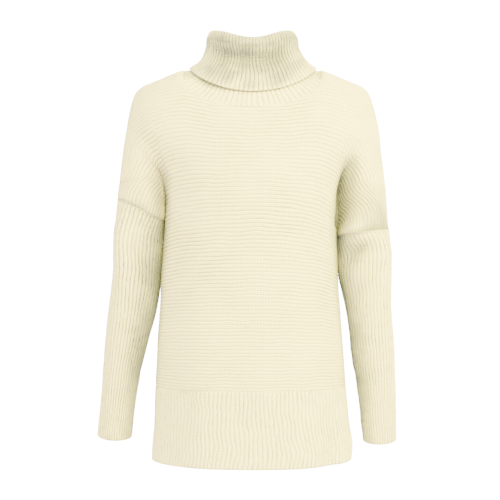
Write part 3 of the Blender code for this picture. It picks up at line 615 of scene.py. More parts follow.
def section_ends(section, side):
    """Foot and top of a section in the front view, as (x, z) with x positive."""
    angle = section_value("foot_deg", section)
    foot_z = underarm_height(angle, side)
    foot_x = half_width(foot_z, side) * np.sin(np.radians(angle)) ** (2 / BODY_ROUNDNESS)
    foot_x = foot_x + UNDERARM_EASE * np.clip(angle / 45.0 - 1.0, 0.0, 1.0) ** 2
    tops = np.interp(SECTIONS["top_x"], OUTLINE_X, OUTLINE_AT)
    tops[-1] = np.interp(-ARMHOLE[side]["top_z"], -OUTLINE_Z, OUTLINE_AT)
    at = np.interp(section, SECTION_NUMBERS, tops)
    return (foot_x, foot_z), (np.interp(at, OUTLINE_AT, OUTLINE_X), np.interp(at, OUTLINE_AT, OUTLINE_Z))


def section_points(section, face, side):
    foot, top = section_ends(section, side)
    bow = 2 * ALONG * (1 - ALONG)
    x = foot[0] + (top[0] - foot[0]) * ALONG - section_value("bow_x", section) * bow
    z = foot[1] + (top[1] - foot[1]) * ALONG + section_value("bow_z", section) * bow
    turn = section_value("foot_deg", section)
    facing = math.sqrt(max(0.0, math.cos(math.radians(turn))))
    fold = fold_push(side * turn, z, face) * (1 - ALONG) * facing
    depth = surface_depth(x, z, face, side) + fold
    return np.stack([side * x, seam_plane(face) + FACES[face] * depth, z], axis=1)


def armhole_direction(side):
    """Down the arm, square to the plane of the armhole."""
    foot, top = section_ends(ARMHOLE_SECTION, side)
    line = np.array([side * (top[0] - foot[0]), 0.0, top[1] - foot[1]])
    direction = unit(np.cross(line, [0.0, 1.0, 0.0]))
    return direction * -math.copysign(1.0, direction[2])


def neckline_height(x, face):
    return NECK_SIDE_Z - NECK_DROP[face] * oval(x / NECK_HALF_WIDTH, NECK_ROUNDNESS)


def section_end(points, far, section, face):
    """Where a section is cut off by the neckline; others run on to the shoulder seam."""
    if section >= NECK_POINT:
        return far[-1]
    above = points[:, 2] - neckline_height(np.abs(points[:, 0]), face)
    cut = int(np.argmax(above > 0))
    share = -above[cut - 1] / (above[cut] - above[cut - 1])
    return far[cut - 1] + share * (far[cut] - far[cut - 1])


print("armhole faces", np.round(armhole_direction(RIGHT), 2), np.round(armhole_direction(LEFT), 2))

# %% [markdown]
# ## The knit as a material
# The ribs are in the mesh. The stitches on them are smaller than a few faces, so they are a bump pattern
# that follows the piece's own UV map: U counts stitches along a rib, and V counts ribs, so that every rib
# is a wale of V shapes whatever way it runs. One node group makes the pattern, and each finish places it
# with its own values.
# The group also gives a factor for the yarn's colour: painted shade in the grooves and a painted highlight on
# each stitch's bulge.


# %% The stitch group
STITCH_SOCKETS = (
    ("UV", "INPUT", "Vector"),
    ("Place", "INPUT", "Vector"),
    ("Slant", "INPUT", "Float"),
    ("Fuzz", "INPUT", "Float"),
    ("Groove Shade", "INPUT", "Float"),
    ("Height", "OUTPUT", "Float"),
    ("Shade", "OUTPUT", "Float"),
)
NOISES = {"wander": (70.0, 1.0), "ragged": (160.0, 2.0), "fuzz": (1400.0, 3.0), "patches": (38.0, 4.0)}
STITCH_WANDER = 0.9  # how far a stitch strays along its rib, in stitches
RIB_RAGGED = 0.44  # how far it strays across, in ribs
STITCH_ROUND = 0.6  # below 1 a stitch is long and full
LEG_AT, LEG_WIDTH = 0.17, 0.24  # a leg of the V from the middle of the rib, in ribs
GROOVE_SHADE_POWER = 4.0  # how narrow the painted shade in a groove is
GROOVE_SHADE_BREAKS = (2.4, -0.2)  # it is broken up by the same noise that moves the stitches
PAINTED_STITCH_HIGHLIGHT = (0.16, 0.90)  # painted highlight: a stitch's bulge is lighter than what lies round it
LEAST_SHADE = 0.06


def math_node(tree, operation, first, second=None, third=None):
    node = tree.nodes.new("ShaderNodeMath")
    node.operation = operation
    for socket, value in zip(node.inputs, (first, second, third)):
        if value is None:
            continue
        if isinstance(value, (int, float)):
            socket.default_value = value
        else:
            tree.links.new(value, socket)
    return node.outputs[0]


def noise_node(tree, name, place):
    node = tree.nodes.new("ShaderNodeTexNoise")
    node.inputs["Scale"].default_value, node.inputs["Detail"].default_value = NOISES[name]
    tree.links.new(place, node.inputs["Vector"])
    return node.outputs["Fac"]


def stitch_group():
    """Height of a wale of stitches, and a shade painted on it: dark in the grooves, light on the stitches'
    bulges.
    """
    group = bpy.data.node_groups.new("knit stitches", "ShaderNodeTree")
    for name, in_out, kind in STITCH_SOCKETS:
        group.interface.new_socket(name, in_out=in_out, socket_type="NodeSocket" + kind)
    given = group.nodes.new("NodeGroupInput").outputs
    made = group.nodes.new("NodeGroupOutput").inputs

    def maths(*values):
        return math_node(group, *values)

    wander = noise_node(group, "wander", given["Place"])
    shift = maths("MULTIPLY_ADD", wander, STITCH_WANDER, -STITCH_WANDER / 2)
    uv = group.nodes.new("ShaderNodeSeparateXYZ")
    group.links.new(given["UV"], uv.inputs["Vector"])
    ragged = noise_node(group, "ragged", given["Place"])
    stray = maths("MULTIPLY_ADD", ragged, RIB_RAGGED, -RIB_RAGGED / 2)
    ribs = maths("FRACT", maths("ADD", uv.outputs["Y"], stray))
    across = maths("ABSOLUTE", maths("SUBTRACT", ribs, 0.5))
    leaning = maths("MULTIPLY_ADD", across, given["Slant"], uv.outputs["X"])
    phase = maths("FRACT", maths("ADD", leaning, shift))
    wave = maths("SINE", maths("MULTIPLY", phase, math.pi))
    bulge = maths("POWER", wave, STITCH_ROUND)
    off_leg = maths("DIVIDE", maths("SUBTRACT", across, LEG_AT), LEG_WIDTH)
    leg = maths("MAXIMUM", maths("SUBTRACT", 1.0, maths("MULTIPLY", off_leg, off_leg)), 0.0)
    stitch = maths("MULTIPLY", bulge, leg)
    fuzz = noise_node(group, "fuzz", given["Place"])
    hair = maths("MULTIPLY", maths("SUBTRACT", fuzz, 0.5), given["Fuzz"])
    group.links.new(maths("ADD", stitch, hair), made["Height"])

    # Painted shade in the grooves, and a painted highlight on each stitch's bulge.
    deep = maths("POWER", maths("MULTIPLY", across, 2.0), GROOVE_SHADE_POWER)
    broken = maths("MULTIPLY_ADD", wander, *GROOVE_SHADE_BREAKS)
    painted_groove_shade = maths("MULTIPLY", maths("MULTIPLY", deep, broken), given["Groove Shade"])
    light = maths("MULTIPLY_ADD", stitch, *PAINTED_STITCH_HIGHLIGHT)
    shade = maths("MAXIMUM", maths("SUBTRACT", light, painted_groove_shade), LEAST_SHADE)
    group.links.new(shade, made["Shade"])
    return group


STITCHES = stitch_group()
print("group", STITCHES.name, [s.name for s in STITCHES.interface.items_tree])

# %% [markdown]
# A wool blend is matt, a little hairy, and never one flat colour: the yarn is warmer where it is thick. The
# Principled shader's sheen gives the soft bright rim that hairs make, and a slow noise varies the cream.


# %% Yarn finishes
CREAM = (0.82, 0.77, 0.645, 1.0)
WARM_CREAM = (0.80, 0.745, 0.60, 1.0)
SHADE_POWERS = {"Red": 1.0, "Green": 0.88, "Blue": 0.47}  # painted shade is greyer than the lit cream
SURFACE = {"Roughness": 0.92, "Specular IOR Level": 0.25, "Sheen Weight": 0.12, "Sheen Roughness": 0.5}


def yarn(name, groove=0.3, slant=1.1, fuzz=0.35, relief=0.0016, strength=0.85):
    """Cream knit, with its stitches along the ribs of the piece's UV map, and shade painted into its grooves
    and deep folds.
    """
    material = bpy.data.materials.new(name)
    material.use_nodes = True
    tree = material.node_tree
    shader = tree.nodes["Principled BSDF"]
    place = tree.nodes.new("ShaderNodeTexCoord")
    knit = tree.nodes.new("ShaderNodeGroup")
    knit.node_tree = STITCHES
    knit.inputs["Slant"].default_value = slant
    knit.inputs["Fuzz"].default_value = fuzz
    # How proud the ribs stand sets how dark the painted shade in their grooves is.
    depth = tree.nodes.new("ShaderNodeAttribute")
    depth.attribute_name = "rib_depth"
    tree.links.new(math_node(tree, "MULTIPLY", depth.outputs["Fac"], groove), knit.inputs["Groove Shade"])
    tree.links.new(place.outputs["UV"], knit.inputs["UV"])
    tree.links.new(place.outputs["Object"], knit.inputs["Place"])

    patches = noise_node(tree, "patches", place.outputs["Object"])
    tone = tree.nodes.new("ShaderNodeMix")
    tone.data_type = "RGBA"
    tone.inputs["A"].default_value = CREAM
    tone.inputs["B"].default_value = WARM_CREAM
    tree.links.new(patches, tone.inputs["Factor"])
    shaded = tree.nodes.new("ShaderNodeMix")
    shaded.data_type = "RGBA"
    shaded.blend_type = "MULTIPLY"
    shaded.inputs["Factor"].default_value = 1.0
    # Painted shade: the stitches' groove shade times the fold shade darkens the yarn's colour, and greys it
    # where it darkens most.
    painted_shade_colour = tree.nodes.new("ShaderNodeCombineColor")
    # The openness attribute holds the painted shade of the deep folds.
    fold_shade_attribute = tree.nodes.new("ShaderNodeAttribute")
    fold_shade_attribute.attribute_name = "openness"
    shade = math_node(tree, "MULTIPLY", knit.outputs["Shade"], fold_shade_attribute.outputs["Fac"])
    for channel, power in SHADE_POWERS.items():
        tree.links.new(math_node(tree, "POWER", shade, power), painted_shade_colour.inputs[channel])
    tree.links.new(tone.outputs["Result"], shaded.inputs["A"])
    tree.links.new(painted_shade_colour.outputs["Color"], shaded.inputs["B"])
    tree.links.new(shaded.outputs["Result"], shader.inputs["Base Color"])

    bump = tree.nodes.new("ShaderNodeBump")
    bump.inputs["Distance"].default_value = relief
    bump.inputs["Strength"].default_value = strength
    tree.links.new(knit.outputs["Height"], bump.inputs["Height"])
    tree.links.new(bump.outputs["Normal"], shader.inputs["Normal"])
    for socket, value in SURFACE.items():
        shader.inputs[socket].default_value = value
    return material


# groove sets how dark the painted shade in each piece's grooves is
BODY_YARN = yarn("body rib yarn", groove=0.22)
BAND_YARN = yarn("hem rib yarn", groove=0.45)
SLEEVE_YARN = yarn("sleeve rib yarn", groove=0.42)
COLLAR_YARN = yarn("collar rib yarn", groove=0.95)
SEAM_YARN = yarn("seam yarn", groove=0.1, fuzz=0.5, relief=0.0006, strength=0.5)
print("finishes", [m.name for m in (BODY_YARN, BAND_YARN, SLEEVE_YARN, COLLAR_YARN, SEAM_YARN)])

# %% [markdown]
# ## From lines of points to cloth
# A piece is a set of lines of points, joined pair by pair into strips of faces. Two lines may have
# different numbers of points, as where a rib is cut off at a seam, so a strip always takes the shorter of
# the two possible steps. The ribs, the slow unevenness and the turned-in edges are added to all points at
# once, and Solidify then gives the sheet its thickness.


# %% Cloth builder
RIB_WANDER = 0.0008  # how far a rib strays from its line
FINE_WANDER = 0.0003
SURFACE_WANDER = 0.0011  # how uneven the surface is over a hand's width
RIB_VARIES = 0.22  # how much prouder some ribs stand than others
SPANS = {"surface": 0.16, "height": 0.075, "stray": 0.055, "fine": 0.019}  # lengths of their waves
HEIGHT_STRETCH = (1.0, 1.0, 2.5)  # the level ribs of the body each have their own height
SEAM_WIDTH = 0.0032  # the edges turn in over this width
SEAM_CALM = 0.55  # and the ribs lie this much flatter there
MERGE = 2e-6  # points closer than this are one
SEEDS = {
    "front_panel": 3,
    "back_panel": 31,
    "front_hem": 7,
    "back_hem": 37,
    "right_sleeve": 11,
    "left_sleeve": 43,
    "roll_collar": 19,
}


class Cloth:
    """A sheet made of lines of points. Each point has a place, a direction outwards and one across the ribs.
    It is at a station, counted in ribs, and so many stitches along its rib."""

    def __init__(self):
        self.places, self.outwards, self.across, self.stations, self.stitches = [], [], [], [], []
        self.faces = []
        self.count = 0
        self.last = None

    def line(self, stations, frame, beside=None, way=1.0, rising=1.0):
        """Adds a line. Beside is the line before it, from which the stitches are counted on, up or down as
        way says; rising is -1 where the ribs are counted downwards."""
        points, outwards, across = frame
        stations = np.asarray(stations, float)
        stitches = np.zeros(len(points))
        if beside is not None:
            near = read_line(beside["at"], beside["points"], stations)
            stitches = np.interp(stations, beside["at"], beside["stitches"])
            stitches = stitches + way * np.linalg.norm(points - near, axis=1) / STITCH
        ids = np.arange(self.count, self.count + len(points))
        self.count += len(points)
        self.places.append(points)
        self.outwards.append(outwards)
        self.across.append(across)
        self.stations.append(rising * stations)
        self.stitches.append(stitches)
        return {"ids": ids, "at": stations, "points": points, "stitches": stitches}

    def strip(self, first, second):
        """Faces between two lines, each with ids and stations."""
        a, b, at_a, at_b = first["ids"], second["ids"], first["at"], second["at"]
        i = j = 0
        while i < len(a) - 1 or j < len(b) - 1:
            if j == len(b) - 1 or (i < len(a) - 1 and at_a[i + 1] - at_b[j] <= at_b[j + 1] - at_a[i]):
                self.faces.append((a[i], a[i + 1], b[j]))
                i += 1
            else:
                self.faces.append((a[i], b[j + 1], b[j]))
                j += 1

    def row(self, stations, frame):
        """Adds a line and joins it to the last one."""
        line = self.line(stations, frame, self.last)
        if self.last is not None:
            self.strip(self.last, line)
        self.last = line

    def surface(self, boundary, seed, push, proud, dip, stray):
        """The points of the cloth's outer side; near the boundary they turn in and lie calm."""
        points, outwards = np.vstack(self.places), unit(np.vstack(self.outwards))
        across, stations = unit(np.vstack(self.across)), np.concatenate(self.stations)
        tree = KDTree(len(boundary))
        for k, spot in enumerate(boundary):
            tree.insert(spot, k)
        tree.balance()
        edge = np.array([tree.find(spot)[2] for spot in points])
        sides = np.exp(-((edge / SEAM_WIDTH) ** 2))
        height = 1.0 + RIB_VARIES * uneven(points * HEIGHT_STRETCH, SPANS["height"], seed)
        height = height * (1 - SEAM_CALM * sides) * proud
        rise = RIB_HEIGHT * rib_height(stations) * height
        slow = SURFACE_WANDER * uneven(points, SPANS["surface"], seed + 1)
        rise = rise + (slow + push) * (1 - sides) - dip * sides
        wander = RIB_WANDER * uneven(points, SPANS["stray"], seed + 2)
        wander = wander + FINE_WANDER * uneven(points, SPANS["fine"], seed + 3)
        wander = stray * wander * (1 - sides)
        return points + across * wander[:, None] + outwards * rise[:, None], np.abs(height)

    def build(self, name, material, boundary, toward, push=0.0, proud=1.0, dip=TUCK_DEPTH,
              stray=1.0, middle=False, clear=None):
        """Makes the sheet; toward is a point far out on the side that the ribs face."""
        spots, height = self.surface(boundary, SEEDS[name], push, proud, dip, stray)
        if clear is not None:
            spots = clear(spots)
        mesh = bpy.data.meshes.new(name)
        mesh.from_pydata(spots.tolist(), [], np.array(self.faces).tolist())
        layer = mesh.uv_layers.new(name="knit")
        uvs = np.stack([np.concatenate(self.stitches), np.concatenate(self.stations)], axis=1)
        loops = np.empty(len(mesh.loops), dtype=np.int32)
        mesh.loops.foreach_get("vertex_index", loops)
        layer.data.foreach_set("uv", uvs[loops].astype(np.float32).ravel())
        # How proud the ribs stand, which also scales the painted shade in their grooves.
        depth = mesh.attributes.new("rib_depth", "FLOAT", "POINT")
        depth.data.foreach_set("value", np.asarray(height, dtype=np.float32))
        mesh.materials.append(material)
        piece = bpy.data.objects.new(name, mesh)
        bpy.context.scene.collection.objects.link(piece)
        bpy.ops.object.select_all(action="DESELECT")
        bpy.context.view_layer.objects.active = piece
        piece.select_set(True)
        bpy.ops.object.mode_set(mode="EDIT")
        bpy.ops.mesh.select_all(action="SELECT")
        bpy.ops.mesh.remove_doubles(threshold=MERGE)
        bpy.ops.mesh.dissolve_degenerate(threshold=MERGE / 2)
        bpy.ops.mesh.select_all(action="SELECT")
        bpy.ops.mesh.normals_make_consistent(inside=False)
        bpy.ops.object.mode_set(mode="OBJECT")
        nearest = min(mesh.polygons, key=lambda polygon: (polygon.center - Vector(toward)).length)
        if nearest.normal.dot(Vector(toward) - nearest.center) < 0:
            mesh.flip_normals()
        mesh.shade_smooth()
        wall = piece.modifiers.new("cloth", "SOLIDIFY")
        wall.thickness = CLOTH
        wall.offset = 0.0 if middle else -1.0
        bpy.ops.object.modifier_apply(modifier=wall.name)
        print(name, len(piece.data.polygons), "faces")
        return piece


def joined(line, more):
    """A line that goes on along another one."""
    return {key: np.concatenate([line[key], more[key]]) for key in ("ids", "at", "points", "stitches")}


print("seams dip", SEAM_DIP * 1000, "mm")

# %% [markdown]
# ## Front and back
# The front and the back are each one piece of level ribs that takes in the dropped shoulder. Sections run
# up from the underarm, columns run down from it, and the ribs pass across both without a break.


# %% Yoke lines
SECTION_STEP = 0.04  # how far to both sides the slope across a section is read
ANGLE_STEP = 0.5  # the same in degrees, below the underarm
FOOT_TURN = 0.006  # beside the side seam the cloth turns down towards its end over this length
LAST_POINT_ROOM = 0.04  # ribs closer than this to the end of a line get no point of their own
SEAM_POINT_ROOM = 0.06
SEAM_SAMPLES = 5  # sections looked at between two lines, to find where ribs end at the seam


def section_frame(section, face, side):
    """Points, outward directions and directions along a section."""
    points = section_points(section, face, side)
    low, high = max(section - SECTION_STEP, 0.0), min(section + SECTION_STEP, ARMHOLE_SECTION)
    across = section_points(high, face, side) - section_points(low, face, side)
    if section == 0.0:  # the middle of the body is level from side to side
        across = np.tile([float(side), 0.0, 0.0], (SAMPLES, 1))
    along = unit(np.gradient(points, axis=0))
    normals = unit(np.cross(along, across)) * FACES[face] * side
    if section == ARMHOLE_SECTION:  # the armhole's edge lies in one plane
        down = armhole_direction(side)
        normals = unit(normals - np.outer(normals @ down, down))
    far = lengths(points)
    beside = np.clip(2 * (section - ARMHOLE_SECTION) + 3, 0.0, 1.0)
    nearby = np.exp(-((far / FOOT_TURN) ** 2))[:, None] * beside
    normals = unit(normals * (1 - nearby) + np.array([0.0, 0.0, -1.0]) * nearby)
    return points, normals, along, far


def yoke_frame(section, face, side):
    """Rib stations and frames of a section, from the underarm row up to its seam."""
    points, normals, along, far = section_frame(section, face, side)
    end = section_end(points, far, section, face)
    pitch = section_value("pitch", section)
    last = end / pitch
    stations = rib_stations(int(last) + 1)
    stations = np.append(stations[stations < last - LAST_POINT_ROOM], last)
    at = stations * pitch
    normals = unit(read_line(far, normals, at))
    if section >= NECK_POINT:  # the shoulder seam's edge lies in the seam plane
        normals[-1] = unit(normals[-1] * (1.0, 0.0, 1.0))
    return stations, (read_line(far, points, at), normals, unit(read_line(far, along, at)))


def seam_frame(first, second, face, side):
    """Where the ribs that end between two sections meet the seam, as stations and frames."""
    ends = [yoke_frame(section, face, side) for section in np.linspace(first, second, SEAM_SAMPLES)]
    at = np.array([stations[-1] for stations, _ in ends])
    frames = [np.array([frame[k][-1] for _, frame in ends]) for k in range(3)]
    if at[-1] < at[0]:
        at, frames = at[::-1], [values[::-1] for values in frames]
    at = np.maximum.accumulate(at)
    stations = rib_stations(int(at[-1]) + 1)
    stations = stations[(stations > at[0] + SEAM_POINT_ROOM) & (stations < at[-1] - SEAM_POINT_ROOM)]
    return stations, tuple(read_line(at, values, stations) for values in frames)


def oval_normals(angle, z, face, side):
    """Outward directions of the body or hem; level, so that the edges stay in their planes."""
    low, high = max(angle - ANGLE_STEP, 0.0), min(angle + ANGLE_STEP, 90.0)
    across = body_point(high, z, face, side) - body_point(low, z, face, side)
    normals = np.stack([-across[:, 1], across[:, 0], 0 * z], axis=1) * side * FACES[face]
    if angle == 0.0:
        normals = np.tile([0.0, float(FACES[face]), 0.0], (len(z), 1))
    if angle == 90.0:
        normals = np.tile([float(side), 0.0, 0.0], (len(z), 1))
    return unit(normals)


def lower_frame(angle, face, side):
    """Rib stations and frames of the body below the underarm, down one line."""
    stations = rib_stations(BODY_RIBS)[1:]
    share = stations / BODY_RIBS
    share = share + BODY_RIB_EASE * share * (1 - share)
    top = underarm_height(angle, side)
    z = top + (HEM_TOP_Z - top) * share
    down = np.tile([0.0, 0.0, -1.0], (len(z), 1))
    return stations, (body_point(angle, z, face, side), oval_normals(angle, z, face, side), down)


def clear_of_seam(face):
    """A function that keeps points of a panel from passing the plane of its side and shoulder seams."""
    plane = seam_plane(face)

    def clear(points):
        points[:, 1] = plane + FACES[face] * np.maximum(FACES[face] * (points[:, 1] - plane), 0.0)
        return points

    return clear


print("ribs of the middle section", round(float(yoke_frame(0.0, "front", LEFT)[0][-1]), 1))


# %% Creases
CREASE_BOW = 0.1  # how far a crease bends out of the straight, by its length
CREASE_ENDS = 0.3  # how deep it still is at its ends
CREASE_RIDGE = 0.45  # height of the low ridge beside it, by its depth
RIDGE_OFF = 1.7  # and how far off that stands, by its width


def crease_push(points, face):
    """How far the soft creases move the cloth outwards, by their lines in the front view."""
    push = np.zeros(len(points))
    for x0, z0, x1, z1, depth, width in zip(*BODY_CREASES[face].values()):
        line = np.array([x1 - x0, z1 - z0])
        long = math.hypot(line[0], line[1])
        apart = points[:, [0, 2]] - np.array([x0, z0])
        along = apart @ line / long**2
        held = np.clip(along, 0.0, 1.0)
        bend = np.sin(math.pi * held)
        off = apart @ np.array([-line[1], line[0]]) / long - CREASE_BOW * long * bend
        past = np.abs(along - held) * long
        fade = np.exp(-((past / width) ** 2)) * (CREASE_ENDS + (1 - CREASE_ENDS) * bend)
        ridge = CREASE_RIDGE * np.exp(-(((off - RIDGE_OFF * width) / width) ** 2))
        push -= depth * fade * (np.exp(-((off / width) ** 2)) - ridge)
    return push


print("creases on the front", len(BODY_CREASES["front"]["x0"]))


# %% Front and back panels
YOKE_LINES = (5, 5, 6, 8, 11, 9, 6)  # lines of points between one section and the next
# The ribs stand out most just below the underarm, and unevenly so.
RIB_CALM = {"base": 0.60, "more": 0.42, "z": -0.29, "height": 0.09, "patches": 0.28, "span": 0.11}


def fine_sections():
    spans = [np.linspace(k, k + 1, count, endpoint=False) for k, count in enumerate(YOKE_LINES)]
    return np.append(np.concatenate(spans), ARMHOLE_SECTION)


def half_panel(cloth, face, side):
    """One side of a panel, from the middle to the armhole and the side seam; returns its boundary."""
    boundary = []
    yoke, body, before = None, None, None
    for section in fine_sections():
        stations, frame = yoke_frame(section, face, side)
        line = cloth.line(stations, frame, yoke, side)
        boundary.append(frame[0][-1:])
        if yoke is not None:
            rows, edge = seam_frame(before, section, face, side)
            shorter, longer = (yoke, line) if yoke["at"][-1] < line["at"][-1] else (line, yoke)
            more = cloth.line(rows, edge, shorter, side)
            boundary.append(edge[0])
            cloth.strip(joined(shorter, more), longer)
        yoke, before = line, section
        if section > ARMHOLE_SECTION - 1:
            continue
        rows, below = lower_frame(section_value("foot_deg", section), face, side)
        lower = cloth.line(rows, below, body, side, rising=-1.0)
        lower = joined({key: values[:1] for key, values in line.items()}, lower)
        if body is not None:
            cloth.strip(body, lower)
        body = lower
        boundary.append(below[0][-1:])
    return np.vstack([*boundary, body["points"], yoke["points"]])


def body_panel(face):
    cloth = Cloth()
    boundary = np.vstack([half_panel(cloth, face, RIGHT), half_panel(cloth, face, LEFT)])
    places = np.vstack(cloth.places)
    push = crease_push(places, face)
    name = face + "_panel"
    chest = np.exp(-(((places[:, 2] - RIB_CALM["z"]) / RIB_CALM["height"]) ** 2))
    patches = RIB_CALM["patches"] * uneven(places, RIB_CALM["span"], SEEDS[name] + 5)
    proud = RIB_CALM["base"] + RIB_CALM["more"] * chest + patches
    toward = (0.0, 2.0 * FACES[face], -0.3)
    return cloth.build(
        name, BODY_YARN, boundary, toward,
        push=push, proud=proud, dip=SEAM_DIP, clear=clear_of_seam(face),
    )


panels = {face: body_panel(face) for face in FACES}

# %% [markdown]
# ## Hem ribs
# The hem is a deep band of upright ribs, sewn to the lowest row of the body. Its ribs lean and fan a
# little.

# %% Hem pieces
HEM_LINES = 34
HEM_SIDE_LIFT = 0.003  # the hem's end hangs a little lower in the middle
HEM_LIFT_Z = -0.612  # the side lift starts here
HEM_PROUD = 0.78
HEM_STRAY = 2.3  # its ribs stray more than those of the body
HEM_LEAN = table("""
    share   front    back
     0.00   0.000   0.000
     0.20   0.001  -0.002
     0.38  -0.003   0.001
     0.55   0.001  -0.003
     0.72   0.006   0.002
     0.88   0.003   0.004
     1.00   0.000   0.000
""")  # how far the foot of a rib stands from under its top, along the hem


def hem_line(z, face):
    """A line of points round half the hem with its outward directions."""
    angles = np.linspace(-90.0, 90.0, 361)
    low = np.clip((HEM_LIFT_Z - z) / (HEM_LIFT_Z - HEM_END_Z), 0.0, 1.0)
    points, normals = [], []
    for angle in angles:
        side = RIGHT if angle < 0 else LEFT
        height = np.array([z + low * HEM_SIDE_LIFT * math.sin(math.radians(angle)) ** 2])
        points.append(body_point(abs(angle), height, face, side)[0])
        normals.append(oval_normals(abs(angle), height, face, side)[0])
    return np.array(points), np.array(normals)


def hem_piece(face):
    cloth = Cloth()
    stations = rib_stations(HEM_RIBS)
    for z in np.linspace(HEM_TOP_Z + TUCK, HEM_END_Z, HEM_LINES):
        line, normals = hem_line(z, face)
        at = lengths(line)
        down = (HEM_TOP_Z - z) / (HEM_TOP_Z - HEM_END_Z)
        lean = column(HEM_LEAN, "share", face, stations / HEM_RIBS) * down
        even = at[-1] * stations / HEM_RIBS + lean
        spots = read_line(at, line, even)
        cloth.row(stations, (spots, read_line(at, normals, even), np.gradient(spots, axis=0)))
    toward = (0.0, 2.0 * FACES[face], -0.6)
    return cloth.build(
        face + "_hem", BAND_YARN, cloth.places[0], toward,
        proud=HEM_PROUD, stray=HEM_STRAY, clear=clear_of_seam(face),
    )


hems = {face: hem_piece(face) for face in FACES}

# %% [markdown]
# ## Sleeves
# A sleeve hangs from the dropped armhole as a tube of upright ribs. It is round at the cuff, and long from
# front to back at the armhole. Its folds are soft and run across the inside of the elbow and up to the
# underarm.


# %% Sleeve pieces
SLEEVE_LINES = 96
SLEEVE_PROUD = {RIGHT: 1.35, LEFT: 0.95}  # how deep the ribs are
SLEEVE_GIRTH = 0.30  # about the way round a sleeve, for the lines of its folds
SLEEVE_FOLD_ENDS = 0.35  # how deep a fold still is at its ends
SLEEVE_CALM = 0.03  # folds fade out over this length at both ends of the sleeve
CUFF_START_Z = -0.56  # the front starts to hang lower here
RING_TURN = np.linspace(0.0, 2 * math.pi, 720, endpoint=False)


def ring_frames(rings):
    """Directions outwards and round, for a tube given by closed rings whose last point is the first one."""
    steps = unit(np.diff(rings[:, :-1], axis=0))
    along = np.concatenate([steps[:1], steps[:-1] + steps[1:], steps[-1:]])
    around = unit(np.roll(rings[:, :-1], -1, axis=1) - np.roll(rings[:, :-1], 1, axis=1))
    normals = unit(np.cross(around, along))
    close = [np.concatenate([values, values[:, :1]], axis=1) for values in (normals, around)]
    return close[0], close[1]


def armhole_loop(side):
    """The edge of both body panels at the armhole: up the front from the underarm, down the back."""
    front = section_points(ARMHOLE_SECTION, "front", side)
    back = section_points(ARMHOLE_SECTION, "back", side)
    return np.vstack([front, back[::-1]])


def sleeve_ring(side, row):
    """An oval ring of the sleeve below the armhole, from the underarm over the front."""
    ring = {name: values[row] for name, values in SLEEVES[side].items()}
    tilt = math.radians(ring["tilt"])
    last = len(SLEEVES[side]["z"]) - 1
    skew = SLEEVE_SKEW["top"] + (SLEEVE_SKEW["cuff"] - SLEEVE_SKEW["top"]) * row / last
    across = (skew * np.sin(RING_TURN) ** 2 - np.cos(RING_TURN)) * ring["width"]
    forward = np.sin(RING_TURN) * ring["depth"]
    cuff = np.clip((ring["z"] - CUFF_START_Z) / (SLEEVES[side]["z"][-1] - CUFF_START_Z), 0.0, 1.0)
    x = side * (ring["x"] + across * math.cos(tilt))
    z = ring["z"] + across * math.sin(tilt) - CUFF_FRONT_DROP * cuff * np.sin(RING_TURN)
    return np.stack([x, ring["y"] - forward, z], axis=1)


def sleeve_push(side, share, z):
    """Soft folds round the sleeve, each a line from one (share, z) to another."""
    push = 0.0 * share
    for start, start_z, end, end_z, depth, width in zip(*SLEEVE_FOLDS[side].values()):
        turn = (end - start + 0.5) % 1.0 - 0.5
        line = np.array([turn * SLEEVE_GIRTH, end_z - start_z])
        round_way = (share - start - turn / 2 + 0.5) % 1.0 - 0.5 + turn / 2
        apart = np.stack([round_way * SLEEVE_GIRTH, z - start_z], axis=1)
        along = np.clip(apart @ line / (line @ line), 0.0, 1.0)
        off = np.linalg.norm(apart - along[:, None] * line, axis=1)
        held = SLEEVE_FOLD_ENDS + (1 - SLEEVE_FOLD_ENDS) * np.sin(math.pi * along)
        push = push - depth * np.exp(-((off / width) ** 2)) * held
    return push


def sleeve(side, name):
    shares = rib_stations(SLEEVE_RIBS) / SLEEVE_RIBS
    start = armhole_loop(side) - armhole_direction(side) * TUCK
    rings = [evenly(start, shares)]
    rings += [evenly(sleeve_ring(side, row), shares) for row in range(len(SLEEVES[side]["z"]))]
    rings = np.array(rings)
    levels = lengths(rings.mean(axis=1))
    far = np.linspace(0.0, levels[-1], SLEEVE_LINES)
    fine = smooth(levels, rings, far)
    normals, around = ring_frames(fine)
    centres = fine.mean(axis=1, keepdims=True)
    normals *= np.sign(np.sum(normals * (fine - centres), axis=2).mean())
    down = armhole_direction(side)
    normals[0] = unit(normals[0] - np.outer(normals[0] @ down, down))
    cloth, pushes = Cloth(), []
    for ring, out, across, at in zip(fine, normals, around, far):
        cloth.row(shares * SLEEVE_RIBS, (ring, out, across))
        ends = min(1.0, at / SLEEVE_CALM) * min(1.0, (levels[-1] - at) / SLEEVE_CALM)
        pushes.append(sleeve_push(side, shares, ring[:, 2]) * ends)
    toward = (2.0 * side, 0.0, -0.45)
    push = np.concatenate(pushes)
    return cloth.build(name, SLEEVE_YARN, fine[0], toward, push=push, proud=SLEEVE_PROUD[side])


sleeves = {side: sleeve(side, name) for side, name in ((RIGHT, "right_sleeve"), (LEFT, "left_sleeve"))}

# %% [markdown]
# ## Armhole seams
# Where the sleeve is linked to the body a narrow chain of slanting stitches stands a little proud of both.

# %% Seam chains
CHAIN_STITCH = 0.0044
CHAIN_RADII = (0.0027, 0.0013, 0.0010)  # along the seam, across it, and outwards
CHAIN_LEAN = math.radians(24.0)
LEAN_VARIES, LEAN_SPAN, LEAN_SEED = 0.12, 0.03, 5  # how unevenly
CHAINS = (  # side, name and how far it stands out
    (RIGHT, "right_armhole_seam", 0.0003),
    (LEFT, "left_armhole_seam", 0.0004),
)

